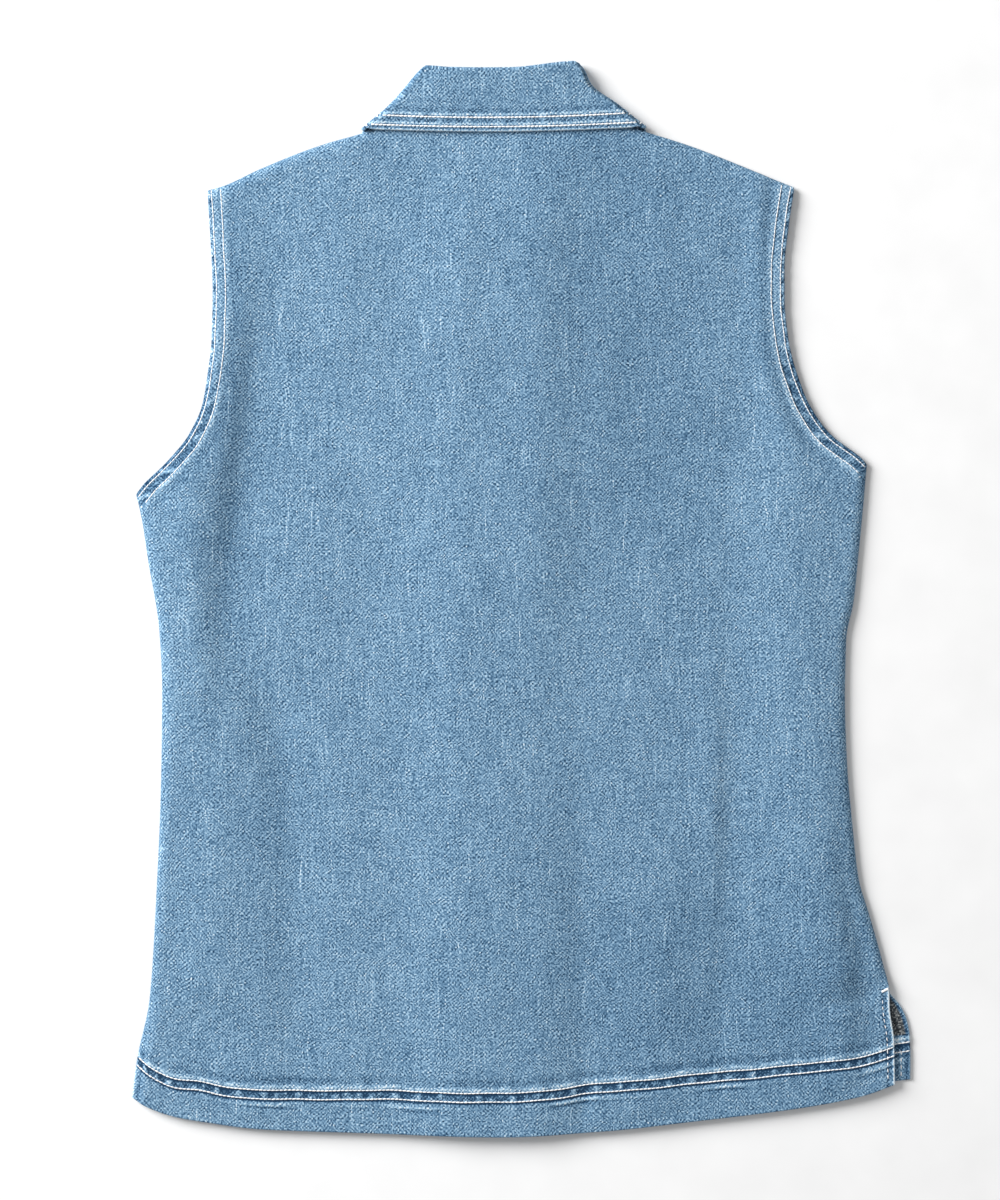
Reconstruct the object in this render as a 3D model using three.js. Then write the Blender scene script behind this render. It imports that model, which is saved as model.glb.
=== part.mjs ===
// Sleeveless denim vest with a turned-down collar, a button front and side vents, laid face down
// on a flat surface with its back up. Millimetres, +Z up, +Y towards the collar. The origin is on
// the surface, under the middle of the vest.
//
// Every cloth piece is a wall: a lattice of outer points, worked out from the sizes below, and the
// same lattice moved in by the thickness of the cloth. Pieces are SEAM_GAP apart where they are
// sewn together. Plan sizes are measured from the centre back line and from a line across the
// vest at mid length, and the whole is moved to the origin at the end.

import * as THREE from "three";

// Thickness of the cloth.
const CLOTH = 1.1; // one ply of denim
const HEM_CLOTH = 2.2; // turned up and stitched
const TURNED_CLOTH = 2.0; // turned in along the armholes and vents
const PLACKET_CLOTH = 1.6; // the folded front edges
const COLLAR_CLOTH = 1.8; // upper and under collar, pressed together
const SEAM_GAP = 0.3;

// Widths of what is turned in, and the front opening.
const HEM_DEPTH = 30;
const ARMHOLE_TURN = 12;
const VENT_TURN = 7;
const VENT_LENGTH = 62;
const OVERLAP = 15; // each front runs this far past the centre front line

// Where the rows of the panels' lattices lie, as shares of the way from hem to shoulder tip.
const UNDERARM_SHARE = 0.68; // the corner where side and armhole meet
const SIDE_LENGTH = 400; // of a side seam, hem to corner
const HEM_SHARE = (HEM_DEPTH / SIDE_LENGTH) * UNDERARM_SHARE;
const VENT_SHARE = (VENT_LENGTH / SIDE_LENGTH) * UNDERARM_SHARE;

const HEM_CURVE = [
  { x: -245.5, y: -328.7 },
  { x: -235.6, y: -334.6 },
  { x: -217.0, y: -341.2 },
  { x: -198.7, y: -344.5 },
  { x: -160.0, y: -349.5 },
  { x: -97.0, y: -351.8 },
  { x: -2.0, y: -354.4 },
  { x: 64.0, y: -351.1 },
  { x: 130.0, y: -343.9 },
  { x: 196.0, y: -335.6 },
  { x: 236.0, y: -328.0 },
  { x: 259.0, y: -320.1 },
];
const LEFT_SIDE = [
  { y: -328.7, x: -245.5 },
  { y: -303.6, x: -242.2 },
  { y: -264.0, x: -234.0 },
  { y: -198.0, x: -229.7 },
  { y: -118.8, x: -226.4 },
  { y: -60.0, x: -225.7 },
  { y: -20.0, x: -227.6 },
  { y: 26.4, x: -235.0 },
  { y: 52.8, x: -239.0 },
  { y: 70.0, x: -242.9 },
];
const LEFT_ARMHOLE = [
  { y: 70.0, x: -242.9 },
  { y: 78.5, x: -235.6 },
  { y: 87.1, x: -226.4 },
  { y: 97.0, x: -217.1 },
  { y: 108.9, x: -207.9 },
  { y: 129.4, x: -198.7 },
  { y: 150.0, x: -195.2 },
  { y: 172.0, x: -192.7 },
  { y: 205.0, x: -192.0 },
  { y: 238.0, x: -193.4 },
  { y: 270.6, x: -195.4 },
];
const RIGHT_SIDE = [
  { y: -320.1, x: 259.0 },
  { y: -292.0, x: 258.5 },
  { y: -269.0, x: 255.5 },
  { y: -257.4, x: 255.2 },
  { y: -237.6, x: 250.8 },
  { y: -205.0, x: 241.6 },
  { y: -184.8, x: 235.6 },
  { y: -145.2, x: 231.0 },
  { y: -105.6, x: 227.7 },
  { y: -66.0, x: 226.4 },
  { y: -26.4, x: 227.2 },
  { y: 0.0, x: 232.3 },
  { y: 26.4, x: 235.0 },
  { y: 52.8, x: 237.6 },
  { y: 89.8, x: 240.9 },
];
const RIGHT_ARMHOLE = [
  { y: 89.8, x: 240.9 },
  { y: 95.0, x: 235.6 },
  { y: 101.6, x: 226.4 },
  { y: 108.9, x: 217.1 },
  { y: 120.1, x: 207.9 },
  { y: 137.3, x: 198.7 },
  { y: 171.6, x: 188.8 },
  { y: 200.0, x: 186.1 },
  { y: 218.0, x: 186.1 },
  { y: 251.0, x: 189.4 },
  { y: 272.6, x: 192.7 },
];
const BACK_TOP = [
  { x: -195.4, y: 270.6 },
  { x: -184.8, y: 273.6 },
  { x: -160.0, y: 285.1 },
  { x: -119.0, y: 301.0 },
  { x: -97.0, y: 306.9 },
  { x: -70.0, y: 315.4 },
  { x: 0.0, y: 319.5 },
  { x: 70.0, y: 316.6 },
  { x: 97.0, y: 308.2 },
  { x: 121.0, y: 301.0 },
  { x: 162.0, y: 285.1 },
  { x: 181.0, y: 277.2 },
  { x: 192.7, y: 272.6 },
];
// The right front's edge shows through the open vent, outside the back's edge.
const RIGHT_FRONT_SIDE = [
  { y: -316.8, x: 269.3 },
  { y: -301.0, x: 269.3 },
  { y: -287.0, x: 268.6 },
  { y: -276.5, x: 265.4 },
  { y: -268.0, x: 260.8 },
  { y: -257.4, x: 254.4 },
  { y: -237.6, x: 250.0 },
  { y: -205.0, x: 240.8 },
  { y: -184.8, x: 234.8 },
  { y: -145.2, x: 230.2 },
  { y: -105.6, x: 226.9 },
  { y: -66.0, x: 225.6 },
  { y: -26.4, x: 226.4 },
  { y: 0.0, x: 231.5 },
  { y: 26.4, x: 234.2 },
  { y: 52.8, x: 236.8 },
  { y: 88.6, x: 239.7 },
];
const FRONT_INSET = 1.2; // the fronts stay this far inside the back's outline
const VENT_CORNER = { x: 252, rise: 0.11 }; // past this, the right front's hem climbs to its corner
const FRONT_SCOOP = 13; // and their armholes are cut this much deeper
const LEFT_VENT_INSET = 11; // the back's left vent edge comes down beside the front

// The front neckline, from past the centre front to the shoulder, for one side.
const FRONT_NECK = [
  { x: -OVERLAP, y: 239.5 },
  { x: 2.5, y: 239.6 },
  { x: 26.0, y: 252.0 },
  { x: 48.0, y: 276.0 },
  { x: 62.0, y: 298.0 },
  { x: 70.0, y: 315.8 },
];

// Heights over the surface.
const BACK_LEVEL = 5.3; // upper face of the back where nothing lifts it
const HEM_LIFT = 0.5; // more over the front hems
const NECK_LIFT = 0.6; // and over the collar's front wings
const SIDE_EDGE = 1.9; // where the back has come down to the side seams
const SHOULDER_ROLL = 8; // how wide the cloth takes to round down at a seam
const BUTTON_THICK = 2.4;
const BUTTON_RADIUS = 8.5;
const BUTTONS = 7;
const TOP_BUTTON_Y = 225;
const BUTTON_PITCH = 78;
const PLACKET_LIFT = BUTTON_THICK + SEAM_GAP;
const WING_LIFT = COLLAR_CLOTH + SEAM_GAP + 0.05; // the collar's front wings lie under the fronts
const SEAM_TURN = 0.012; // share of the way over which one kind of side edge changes to the next

// The back's ridge over the two front edges, highest between the edges and steeper on the right,
// where the upper front ends.
const RIDGE = { rise: 2.9, left: -22, right: 17, leftSlope: 58, rightSlope: 40, top: 232, fade: 70 };

// Soft folds of the back, each along a line in plan: rises are up, hollows are down.
const FOLDS = [
  { what: "hollow by the left armhole", x0: -170, y0: 165, x1: -180, y1: 5, width: 19, rise: -1.8 },
  { what: "ridge at the left underarm", x0: -210, y0: 78, x1: -199, y1: -50, width: 16, rise: 1.6 },
  { what: "hollow at the left waist", x0: -152, y0: -80, x1: -142, y1: -280, width: 28, rise: -1.2 },
  { what: "ridge at the left hip", x0: -190, y0: -75, x1: -196, y1: -250, width: 20, rise: 1.2 },
  { what: "hollow right of the middle", x0: 142, y0: 100, x1: 136, y1: -270, width: 32, rise: -1.4 },
  { what: "ridge at the right side", x0: 192, y0: 60, x1: 203, y1: -240, width: 24, rise: 1.3 },
  { what: "ridge on the left shoulder", x0: -120, y0: 250, x1: -70, y1: 110, width: 34, rise: 0.8 },
  { what: "hollow by the right armhole", x0: 158, y0: 230, x1: 166, y1: 120, width: 18, rise: -0.9 },
];

const { lerp, clamp, smoothstep } = THREE.MathUtils;
const bell = (t) => Math.exp(-t * t);

// A smooth curve through the rows of a table that never overshoots them.
function smoothThrough(rows, from, to) {
  const at = rows.map((row) => row[from]);
  const value = rows.map((row) => row[to]);
  const last = rows.length - 1;
  const slope = (i) => (value[i + 1] - value[i]) / (at[i + 1] - at[i]);
  const tangent = rows.map((_, i) => {
    if (i === 0) return slope(0);
    if (i === last) return slope(last - 1);
    const [before, after] = [slope(i - 1), slope(i)];
    return before * after <= 0 ? 0 : (2 * before * after) / (before + after);
  });
  return (x) => {
    let i = 0;
    while (i < last - 1 && x > at[i + 1]) i += 1;
    const step = at[i + 1] - at[i];
    const t = clamp((x - at[i]) / step, 0, 1);
    const u = 1 - t;
    return (
      value[i] * (1 + 2 * t) * u * u +
      value[i + 1] * (3 - 2 * t) * t * t +
      step * (tangent[i] * t * u * u - tangent[i + 1] * t * t * u)
    );
  };
}

const hemY = smoothThrough(HEM_CURVE, "x", "y");
const backTopY = smoothThrough(BACK_TOP, "x", "y");
const frontNeckY = smoothThrough(FRONT_NECK, "x", "y");

// One side of a panel: a point for each share of the way from hem to shoulder tip, with the
// underarm corner at UNDERARM_SHARE.
function sideEdge(sideRows, armholeRows) {
  const sideX = smoothThrough(sideRows, "y", "x");
  const armholeX = smoothThrough(armholeRows, "y", "x");
  const low = sideRows[0].y;
  const corner = sideRows[sideRows.length - 1].y;
  const tip = armholeRows[armholeRows.length - 1].y;
  return (share) => {
    if (share <= UNDERARM_SHARE) {
      const y = lerp(low, corner, share / UNDERARM_SHARE);
      return { x: sideX(y), y };
    }
    const y = lerp(corner, tip, (share - UNDERARM_SHARE) / (1 - UNDERARM_SHARE));
    return { x: armholeX(y), y };
  };
}

// The plan of a panel between two side edges, a bottom and a top: across and up are from 0 to 1.
function planOf(left, right, bottomY, topY) {
  const [bottomLeft, bottomRight, topLeft, topRight] = [left(0), right(0), left(1), right(1)];
  return (across, up) => {
    const [l, r] = [left(up), right(up)];
    const bottom = bottomY(lerp(bottomLeft.x, bottomRight.x, across));
    const top = topY(lerp(topLeft.x, topRight.x, across));
    const bottomChord = lerp(bottomLeft.y, bottomRight.y, across);
    const topChord = lerp(topLeft.y, topRight.y, across);
    return {
      x: lerp(l.x, r.x, across),
      y: lerp(l.y, r.y, across) + (1 - up) * (bottom - bottomChord) + up * (top - topChord),
      fromLeft: across * (r.x - l.x),
      fromRight: (1 - across) * (r.x - l.x),
    };
  };
}

// The closed wall between two lattices of the same size.
function wall(outer, inner) {
  const [rows, columns] = [outer.length, outer[0].length];
  const positions = [...outer.flat(), ...inner.flat()].flatMap((p) => [p.x, p.y, p.z]);
  const outerAt = (i, j) => i * columns + j;
  const innerAt = (i, j) => rows * columns + i * columns + j;
  const index = [];
  const quad = (a, b, c, d) => index.push(a, b, c, a, c, d);
  for (let i = 0; i < rows - 1; i += 1) {
    for (let j = 0; j < columns - 1; j += 1) {
      quad(outerAt(i, j), outerAt(i, j + 1), outerAt(i + 1, j + 1), outerAt(i + 1, j));
      quad(innerAt(i, j), innerAt(i + 1, j), innerAt(i + 1, j + 1), innerAt(i, j + 1));
    }
  }
  const top = rows - 1;
  for (let j = 0; j < columns - 1; j += 1) {
    quad(innerAt(0, j), innerAt(0, j + 1), outerAt(0, j + 1), outerAt(0, j));
    quad(outerAt(top, j), outerAt(top, j + 1), innerAt(top, j + 1), innerAt(top, j));
  }
  const end = columns - 1;
  for (let i = 0; i < rows - 1; i += 1) {
    quad(outerAt(i, 0), outerAt(i + 1, 0), innerAt(i + 1, 0), innerAt(i, 0));
    quad(innerAt(i, end), innerAt(i + 1, end), outerAt(i + 1, end), outerAt(i, end));
  }
  const geometry = new THREE.BufferGeometry();
  geometry.setAttribute("position", new THREE.Float32BufferAttribute(positions, 3));
  geometry.setIndex(index);
  geometry.computeVertexNormals();
  return geometry;
}

const evenly = (from, to, steps) =>
  Array.from({ length: steps + 1 }, (_, i) => lerp(from, to, i / steps));

// How high the placket, with its buttons under it, lifts cloth off the surface.
const PLACKET_FLAT = OVERLAP + 1;
const PLACKET_SLOPE = 26;
const overHem = (y) => smoothstep(y, -318, -278);
function placketShare(x, y) {
  const away = Math.abs(x) - PLACKET_FLAT;
  return (1 - smoothstep(away, 0, PLACKET_SLOPE)) * overHem(y);
}
// How high the collar's front wings lift the fronts.
function wingShare(x, y) {
  return smoothstep(y, 148, 182) * (1 - smoothstep(Math.abs(x), 100, 124));
}

// Height of a front's outer face, which lies on the surface where nothing is under it.
function rightFrontUnder(x, y) {
  return Math.max(PLACKET_LIFT * placketShare(x, y), WING_LIFT * wingShare(x, y));
}
const placketThickness = (y) => (y < hemY(0) + HEM_DEPTH + 4 ? HEM_CLOTH : PLACKET_CLOTH);
function leftFrontUnder(x, y) {
  const onRight = PLACKET_LIFT * overHem(y) + placketThickness(y) + SEAM_GAP;
  const away = Math.abs(x) - PLACKET_FLAT;
  const share = x > 0 ? 1 : 1 - smoothstep(away, 0, PLACKET_SLOPE);
  return Math.max(onRight * share, WING_LIFT * wingShare(x, y));
}

function distanceToLine(x, y, { x0, y0, x1, y1 }) {
  const [dx, dy] = [x1 - x0, y1 - y0];
  const along = clamp(((x - x0) * dx + (y - y0) * dy) / (dx * dx + dy * dy), 0, 1);
  return Math.hypot(x - x0 - along * dx, y - y0 - along * dy);
}

// Height of the back's upper face away from its edges.
function backCrown(x, y, up) {
  const overFrontHem = HEM_LIFT * (1 - smoothstep(up, HEM_SHARE, VENT_SHARE));
  const overWings = NECK_LIFT * wingShare(x, y);
  const { rise, left, right, leftSlope, rightSlope, top, fade } = RIDGE;
  const beside = Math.max((left - x) / leftSlope, (x - right) / rightSlope, 0);
  const overPlacket = rise * (1 - smoothstep(beside, 0, 1)) * (1 - smoothstep(y, top, top + fade));
  return FOLDS.reduce(
    (height, fold) => height + fold.rise * bell(distanceToLine(x, y, fold) / fold.width),
    BACK_LEVEL + overFrontHem + overWings + overPlacket,
  );
}

// What the back's side does at each height: a seam rounds down to the surface, and a free edge
// only dips. `round` is 1 for the first and 0 for the second.
function sideShape(isLeft, up) {
  const vent = isLeft ? { z: 2.9, reach: 10, round: 0 } : { z: 4.9, reach: 12, round: 0 };
  const seam = { z: SIDE_EDGE, reach: SHOULDER_ROLL, round: 1 };
  const armhole = { z: 4.5, reach: 14, round: 0 };
  const [from, to, middle] =
    up < (VENT_SHARE + UNDERARM_SHARE) / 2
      ? [vent, seam, VENT_SHARE + SEAM_TURN]
      : [seam, armhole, UNDERARM_SHARE];
  const share = smoothstep(up, middle - SEAM_TURN, middle + SEAM_TURN);
  return {
    z: lerp(from.z, to.z, share),
    reach: lerp(from.reach, to.reach, share),
    round: lerp(from.round, to.round, share),
  };
}
// How far cloth has come down, as a share, at a distance from its edge.
function edgeDrop(distance, { reach, round }) {
  const t = 1 - clamp(distance / reach, 0, 1);
  return lerp(t * t, 1 - Math.sqrt(1 - t * t), round);
}

const leftBackEdge = sideEdge(LEFT_SIDE, LEFT_ARMHOLE);
const rightBackEdge = sideEdge(RIGHT_SIDE, RIGHT_ARMHOLE);
const backPlan = planOf(leftBackEdge, rightBackEdge, hemY, backTopY);

const NECK_HALF = 70; // half the width of the neck seam
const SHOULDER_ANGLE = THREE.MathUtils.degToRad(20);
function backOuter(across, up) {
  const { x, y, fromLeft, fromRight } = backPlan(across, up);
  const crown = backCrown(x, y, up);
  const underFront = WING_LIFT * wingShare(x, y);
  const [left, right] = [sideShape(true, up), sideShape(false, up)];
  let z = crown;
  z -= (crown - left.z) * edgeDrop(fromLeft, left);
  z -= (crown - right.z) * edgeDrop(fromRight, right);
  const shoulder = { z: SIDE_EDGE + underFront, reach: SHOULDER_ROLL, round: 1 };
  const fromTop = (backTopY(x) - y) * Math.cos(SHOULDER_ANGLE);
  const onShoulder = smoothstep(Math.abs(x), NECK_HALF - 2, NECK_HALF + 14);
  z -= (z - shoulder.z) * edgeDrop(fromTop, shoulder) * onShoulder;
  return new THREE.Vector3(x, y, z);
}

// The armhole's turned edge stops a little short of the side seam and the shoulder.
const besideArmhole = (up) => up > UNDERARM_SHARE + 0.015 && up < 0.983;
function backThickness(across, up) {
  const { fromLeft, fromRight } = backPlan(across, up);
  const fromSide = Math.min(fromLeft, fromRight);
  if (up < HEM_SHARE) return HEM_CLOTH;
  if (up < VENT_SHARE && fromSide < VENT_TURN) return TURNED_CLOTH;
  return besideArmhole(up) && fromSide < ARMHOLE_TURN ? TURNED_CLOTH : CLOTH;
}

// The direction that a surface faces, from points close by.
function facing(surface, across, up) {
  const step = 1e-4;
  const [a0, a1] = [Math.max(across - step, 0), Math.min(across + step, 1)];
  const [u0, u1] = [Math.max(up - step, 0), Math.min(up + step, 1)];
  const alongAcross = surface(a1, up).sub(surface(a0, up));
  const alongUp = surface(across, u1).sub(surface(across, u0));
  return alongAcross.cross(alongUp).normalize();
}

const EDGE_COLUMNS = [0, 0.0008, 0.0031, 0.0073, 0.0146, 0.0235, 0.0375, 0.0625];
const BACK_COLUMNS = [
  ...EDGE_COLUMNS,
  ...evenly(0.098, 0.902, 14),
  ...EDGE_COLUMNS.map((share) => 1 - share).reverse(),
];
const HEM_ROWS = [0, 0.5 * HEM_SHARE, HEM_SHARE - 0.0025, HEM_SHARE + 0.0025];
const VENT_ROWS = [-0.027, -0.006, 0.006, 0.02].map((beside) => VENT_SHARE + beside);
const SIDE_ROWS = [...evenly(0.16, 0.6, 9), 0.635, 0.66, 0.674];
const ARMHOLE_ROWS = [0.68, 0.688, 0.7, 0.72, 0.745, 0.775, ...evenly(0.81, 0.93, 3), 0.96];
const SHOULDER_ROWS = [0.981, 0.9888, 0.9944, 0.9976, 0.99936, 1];
const BACK_ROWS = [...HEM_ROWS, ...VENT_ROWS, ...SIDE_ROWS, ...ARMHOLE_ROWS, ...SHOULDER_ROWS];

function backPanel() {
  const outer = BACK_ROWS.map((up) => BACK_COLUMNS.map((across) => backOuter(across, up)));
  const inner = BACK_ROWS.map((up, i) =>
    BACK_COLUMNS.map((across, j) => {
      const normal = facing(backOuter, across, up);
      return outer[i][j].clone().addScaledVector(normal, -backThickness(across, up));
    }),
  );
  return wall(outer, inner);
}

// The fronts follow the back's outline a little inside it, with deeper armholes.
function frontArmhole(rows, towardsMiddle) {
  const [low, high] = [rows[0].y, rows[rows.length - 1].y];
  return rows.map(({ x, y }) => {
    const share = (y - low) / (high - low);
    const scoop = FRONT_SCOOP * Math.sin(Math.PI * share ** 0.6) ** 2;
    return { y: y - FRONT_INSET, x: x + towardsMiddle * (scoop + FRONT_INSET) };
  });
}
const leftFrontSide = LEFT_SIDE.map(({ x, y }) => {
  const byVent = 1 - smoothstep(y, -275, -250);
  return { y: y - FRONT_INSET * Math.sign(y), x: x + FRONT_INSET + LEFT_VENT_INSET * byVent };
});
const hemEnd = HEM_CURVE[HEM_CURVE.length - 1].x;
const frontHemY = (x) =>
  hemY(Math.min(x, hemEnd)) + FRONT_INSET + Math.max(x - VENT_CORNER.x, 0) * VENT_CORNER.rise;
const shoulderY = (x) => backTopY(x) - FRONT_INSET;

const FRONT_COLUMNS = [
  0, 0.06, 0.125, 0.155, 0.19, 0.235, ...evenly(0.3, 0.86, 7), 0.92, 0.958, 0.98, 1,
];
const FRONT_ROWS = [
  ...HEM_ROWS, ...VENT_ROWS.slice(0, 3), ...evenly(0.15, 0.62, 7), 0.66, 0.68, 0.7,
  0.73, 0.77, 0.81, 0.84, 0.87, 0.9, 0.935, 0.97, 1,
];

// A front panel, mirrored where it is the left one, so that its centre front edge is at 0 across.
function frontPanel({ mirror, side, armhole, under }) {
  const flip = (rows) => rows.map(({ x, y }) => ({ x: mirror * x, y }));
  const outerEdge = sideEdge(flip(side), flip(armhole));
  const topY = (x) => Math.min(x < NECK_HALF ? frontNeckY(x) : Infinity, shoulderY(mirror * x));
  const hem = (x) => frontHemY(mirror * x);
  const centreEdge = (up) => ({ x: -OVERLAP, y: lerp(hem(-OVERLAP), topY(-OVERLAP), up) });
  const plan = planOf(centreEdge, outerEdge, hem, topY);
  const thickness = (fromCentre, fromSide, up) => {
    if (up < HEM_SHARE) return HEM_CLOTH;
    if (up < VENT_SHARE && fromSide < VENT_TURN) return TURNED_CLOTH;
    if (besideArmhole(up) && fromSide < ARMHOLE_TURN) return TURNED_CLOTH;
    return fromCentre <= 2 * OVERLAP ? PLACKET_CLOTH : CLOTH;
  };
  const underFace = [];
  const upperFace = [];
  for (const up of FRONT_ROWS) {
    const lower = [];
    const upper = [];
    for (const across of FRONT_COLUMNS) {
      const { x, y, fromLeft, fromRight } = plan(across, up);
      const z = under(mirror * x, y);
      lower.push(new THREE.Vector3(mirror * x, y, z));
      upper.push(new THREE.Vector3(mirror * x, y, z + thickness(fromLeft, fromRight, up)));
    }
    underFace.push(lower);
    upperFace.push(upper);
  }
  return mirror > 0 ? wall(upperFace, underFace) : wall(underFace, upperFace);
}

// The collar is one band, folded along its length. It is laid out on rings that run from one
// front end round the neck to the other: the leaf's edge first, over the fold, down the stand to
// the neck seam. A ring lies on the front, turns over at the side and comes back across the back.
const COLLAR = {
  left: {
    fold: { x: -54.0, y: 350.4 },
    leaf: { x: -92.6, y: 310.6 },
    neck: { x: -71.0, y: 316.6 },
  },
  right: {
    fold: { x: 51.0, y: 351.2 },
    leaf: { x: 93.8, y: 312.0 },
    neck: { x: 71.0, y: 317.6 },
  },
  foldDip: 1.6, // the fold sags this much in the middle
  leafMiddle: 308.8,
  neckMiddle: 320.1,
};
// The front wing for one side: where its fold, leaf edge and neck edge pass, from the side to the
// centre front.
const WING = [
  { share: 0, foldX: 52, foldY: 350, leafX: 93, leafY: 311, neckX: 71, neckY: 317.6 },
  { share: 0.35, foldX: 44, foldY: 316, leafX: 86, leafY: 274, neckX: 59.2, neckY: 295.4 },
  { share: 0.7, foldX: 24, foldY: 277, leafX: 72, leafY: 233, neckX: 34.8, neckY: 262.9 },
  { share: 1, foldX: 2.6, foldY: 256, leafX: 58, leafY: 205, neckX: 3.2, neckY: 241.2 },
];
const HALF = COLLAR_CLOTH / 2;
const LEAF_FRONT_Z = HALF; // the wings lie on the surface
const STAND_FRONT_Z = LEAF_FRONT_Z + COLLAR_CLOTH + SEAM_GAP;
const LEAF_SIDE_Z = LEAF_FRONT_Z + 6.6; // where the leaf has turned over to the back
const STAND_TURN = 2.3; // how far the stand rises as it turns over at the side
const STAND_SIDE_Z = STAND_FRONT_Z + STAND_TURN;
const FOLD_ROOM = 0.6; // between the leaf and the stand, over their thickness, next to the fold
const LEAF_EASE = 0.75; // and between the leaf's edge and the back
const WING_STEPS = 7;
const TURN_STEPS = 4;
const BACK_STEPS = 12;

const wingAt = Object.fromEntries(
  ["foldX", "foldY", "leafX", "leafY", "neckX", "neckY"].map((column) => [
    column,
    smoothThrough(WING, "share", column),
  ]),
);

// Plan point of the wing. `down` is 0 at the fold, 1 at the leaf's edge and -1 at the neck seam.
function wingPlan(side, share, down) {
  const edge = down >= 0 ? "leaf" : "neck";
  const own = (column) => wingAt[column](share);
  const toSide = 1 - smoothstep(share, 0, 0.5);
  const x = lerp(own("foldX"), own(`${edge}X`), Math.abs(down));
  const y = lerp(own("foldY"), own(`${edge}Y`), Math.abs(down));
  const mirror = side === "left" ? -1 : 1;
  const corner = sidePoint(side, down);
  const tableCorner = {
    x: lerp(WING[0].foldX, WING[0][`${edge}X`], Math.abs(down)),
    y: lerp(WING[0].foldY, WING[0][`${edge}Y`], Math.abs(down)),
  };
  return {
    x: mirror * x + (corner.x - mirror * tableCorner.x) * toSide,
    y: y + (corner.y - tableCorner.y) * toSide,
  };
}
function sidePoint(side, down) {
  const { fold, leaf, neck } = COLLAR[side];
  const edge = down >= 0 ? leaf : neck;
  return { x: lerp(fold.x, edge.x, Math.abs(down)), y: lerp(fold.y, edge.y, Math.abs(down)) };
}
function backCollarPlan(share, down) {
  const [l, r] = [sidePoint("left", down), sidePoint("right", down)];
  const bow = 4 * share * (1 - share);
  const chord = lerp(l.y, r.y, share);
  const foldMiddle = lerp(COLLAR.left.fold.y, COLLAR.right.fold.y, 0.5) - COLLAR.foldDip;
  const edgeMiddle = down >= 0 ? COLLAR.leafMiddle : COLLAR.neckMiddle;
  const middle = lerp(foldMiddle, edgeMiddle, Math.abs(down));
  return { x: lerp(l.x, r.x, share), y: chord + bow * (middle - lerp(l.y, r.y, 0.5)) };
}

// Heights of the rings across the back, over the middle line of the cloth.
function backRingZ(x, layer, down) {
  const overNeck = backCrown(x, COLLAR.neckMiddle, 1);
  const standFold = overNeck + CLOTH / 2;
  if (layer === "stand") return lerp(standFold, overNeck - CLOTH / 2, -down);
  return lerp(standFold + COLLAR_CLOTH + FOLD_ROOM, overNeck + HALF + LEAF_EASE, down);
}

// Rings of the collar, from the leaf's edge to the neck seam. Those on the fold itself have the
// angle that they have turned through.
const RINGS = [
  ...[1, 0.72, 0.46, 0.22, 0].map((down) => ({ down, layer: "leaf" })),
  ...[45, 90, 135].map((turned) => ({ down: 0, layer: "fold", turned })),
  ...[0, -0.34, -0.68, -1].map((down) => ({ down, layer: "stand" })),
];

// The leaf's layer and the stand's layer of one ring, as a list of points of the cloth's middle.
function layerRing(layer, down) {
  const isLeaf = layer === "leaf";
  const points = [];
  const frontZ = (x, y) => {
    if (isLeaf) return LEAF_FRONT_Z;
    const under = x < 0 ? leftFrontUnder(x, y) : rightFrontUnder(x, y);
    const atNeck = Math.max(under, WING_LIFT) + CLOTH / 2;
    return lerp(STAND_FRONT_Z, atNeck, Math.abs(down) ** 2);
  };
  const wing = (side, share) => {
    const { x, y } = wingPlan(side, share, down);
    return new THREE.Vector3(x, y, frontZ(x, y));
  };
  const turn = (side, angle) => {
    const { fold, leaf, neck } = COLLAR[side];
    const edge = isLeaf ? leaf : neck;
    const along = new THREE.Vector2(edge.x - fold.x, edge.y - fold.y).normalize();
    const out = new THREE.Vector2(-along.y, along.x).multiplyScalar(side === "left" ? -1 : 1);
    const { x, y } = sidePoint(side, down);
    const low = frontZ(x, y);
    const high = isLeaf ? LEAF_SIDE_Z : lerp(STAND_SIDE_Z, low + STAND_TURN, Math.abs(down));
    const radius = (high - low) / 2;
    const reach = radius * (Math.sin(angle) - 1) - HALF;
    return new THREE.Vector3(
      x + out.x * reach,
      y + out.y * reach,
      (low + high) / 2 - radius * Math.cos(angle),
    );
  };
  for (let i = 0; i < WING_STEPS; i += 1) points.push(wing("left", 1 - i / WING_STEPS));
  for (let i = 0; i <= TURN_STEPS; i += 1) points.push(turn("left", (Math.PI * i) / TURN_STEPS));
  const [start, end] = [points[points.length - 1], turn("right", Math.PI)];
  for (let i = 1; i < BACK_STEPS; i += 1) {
    const share = i / BACK_STEPS;
    const { x, y } = backCollarPlan(share, down);
    const inward = smoothstep(Math.min(share, 1 - share), 0, 0.22);
    const sideZ = lerp(start.z, end.z, share);
    points.push(new THREE.Vector3(x, y, lerp(sideZ, backRingZ(x, layer, down), inward)));
  }
  for (let i = TURN_STEPS; i >= 0; i -= 1) points.push(turn("right", (Math.PI * i) / TURN_STEPS));
  for (let i = WING_STEPS - 1; i >= 0; i -= 1) points.push(wing("right", 1 - i / WING_STEPS));
  return points;
}

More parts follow.
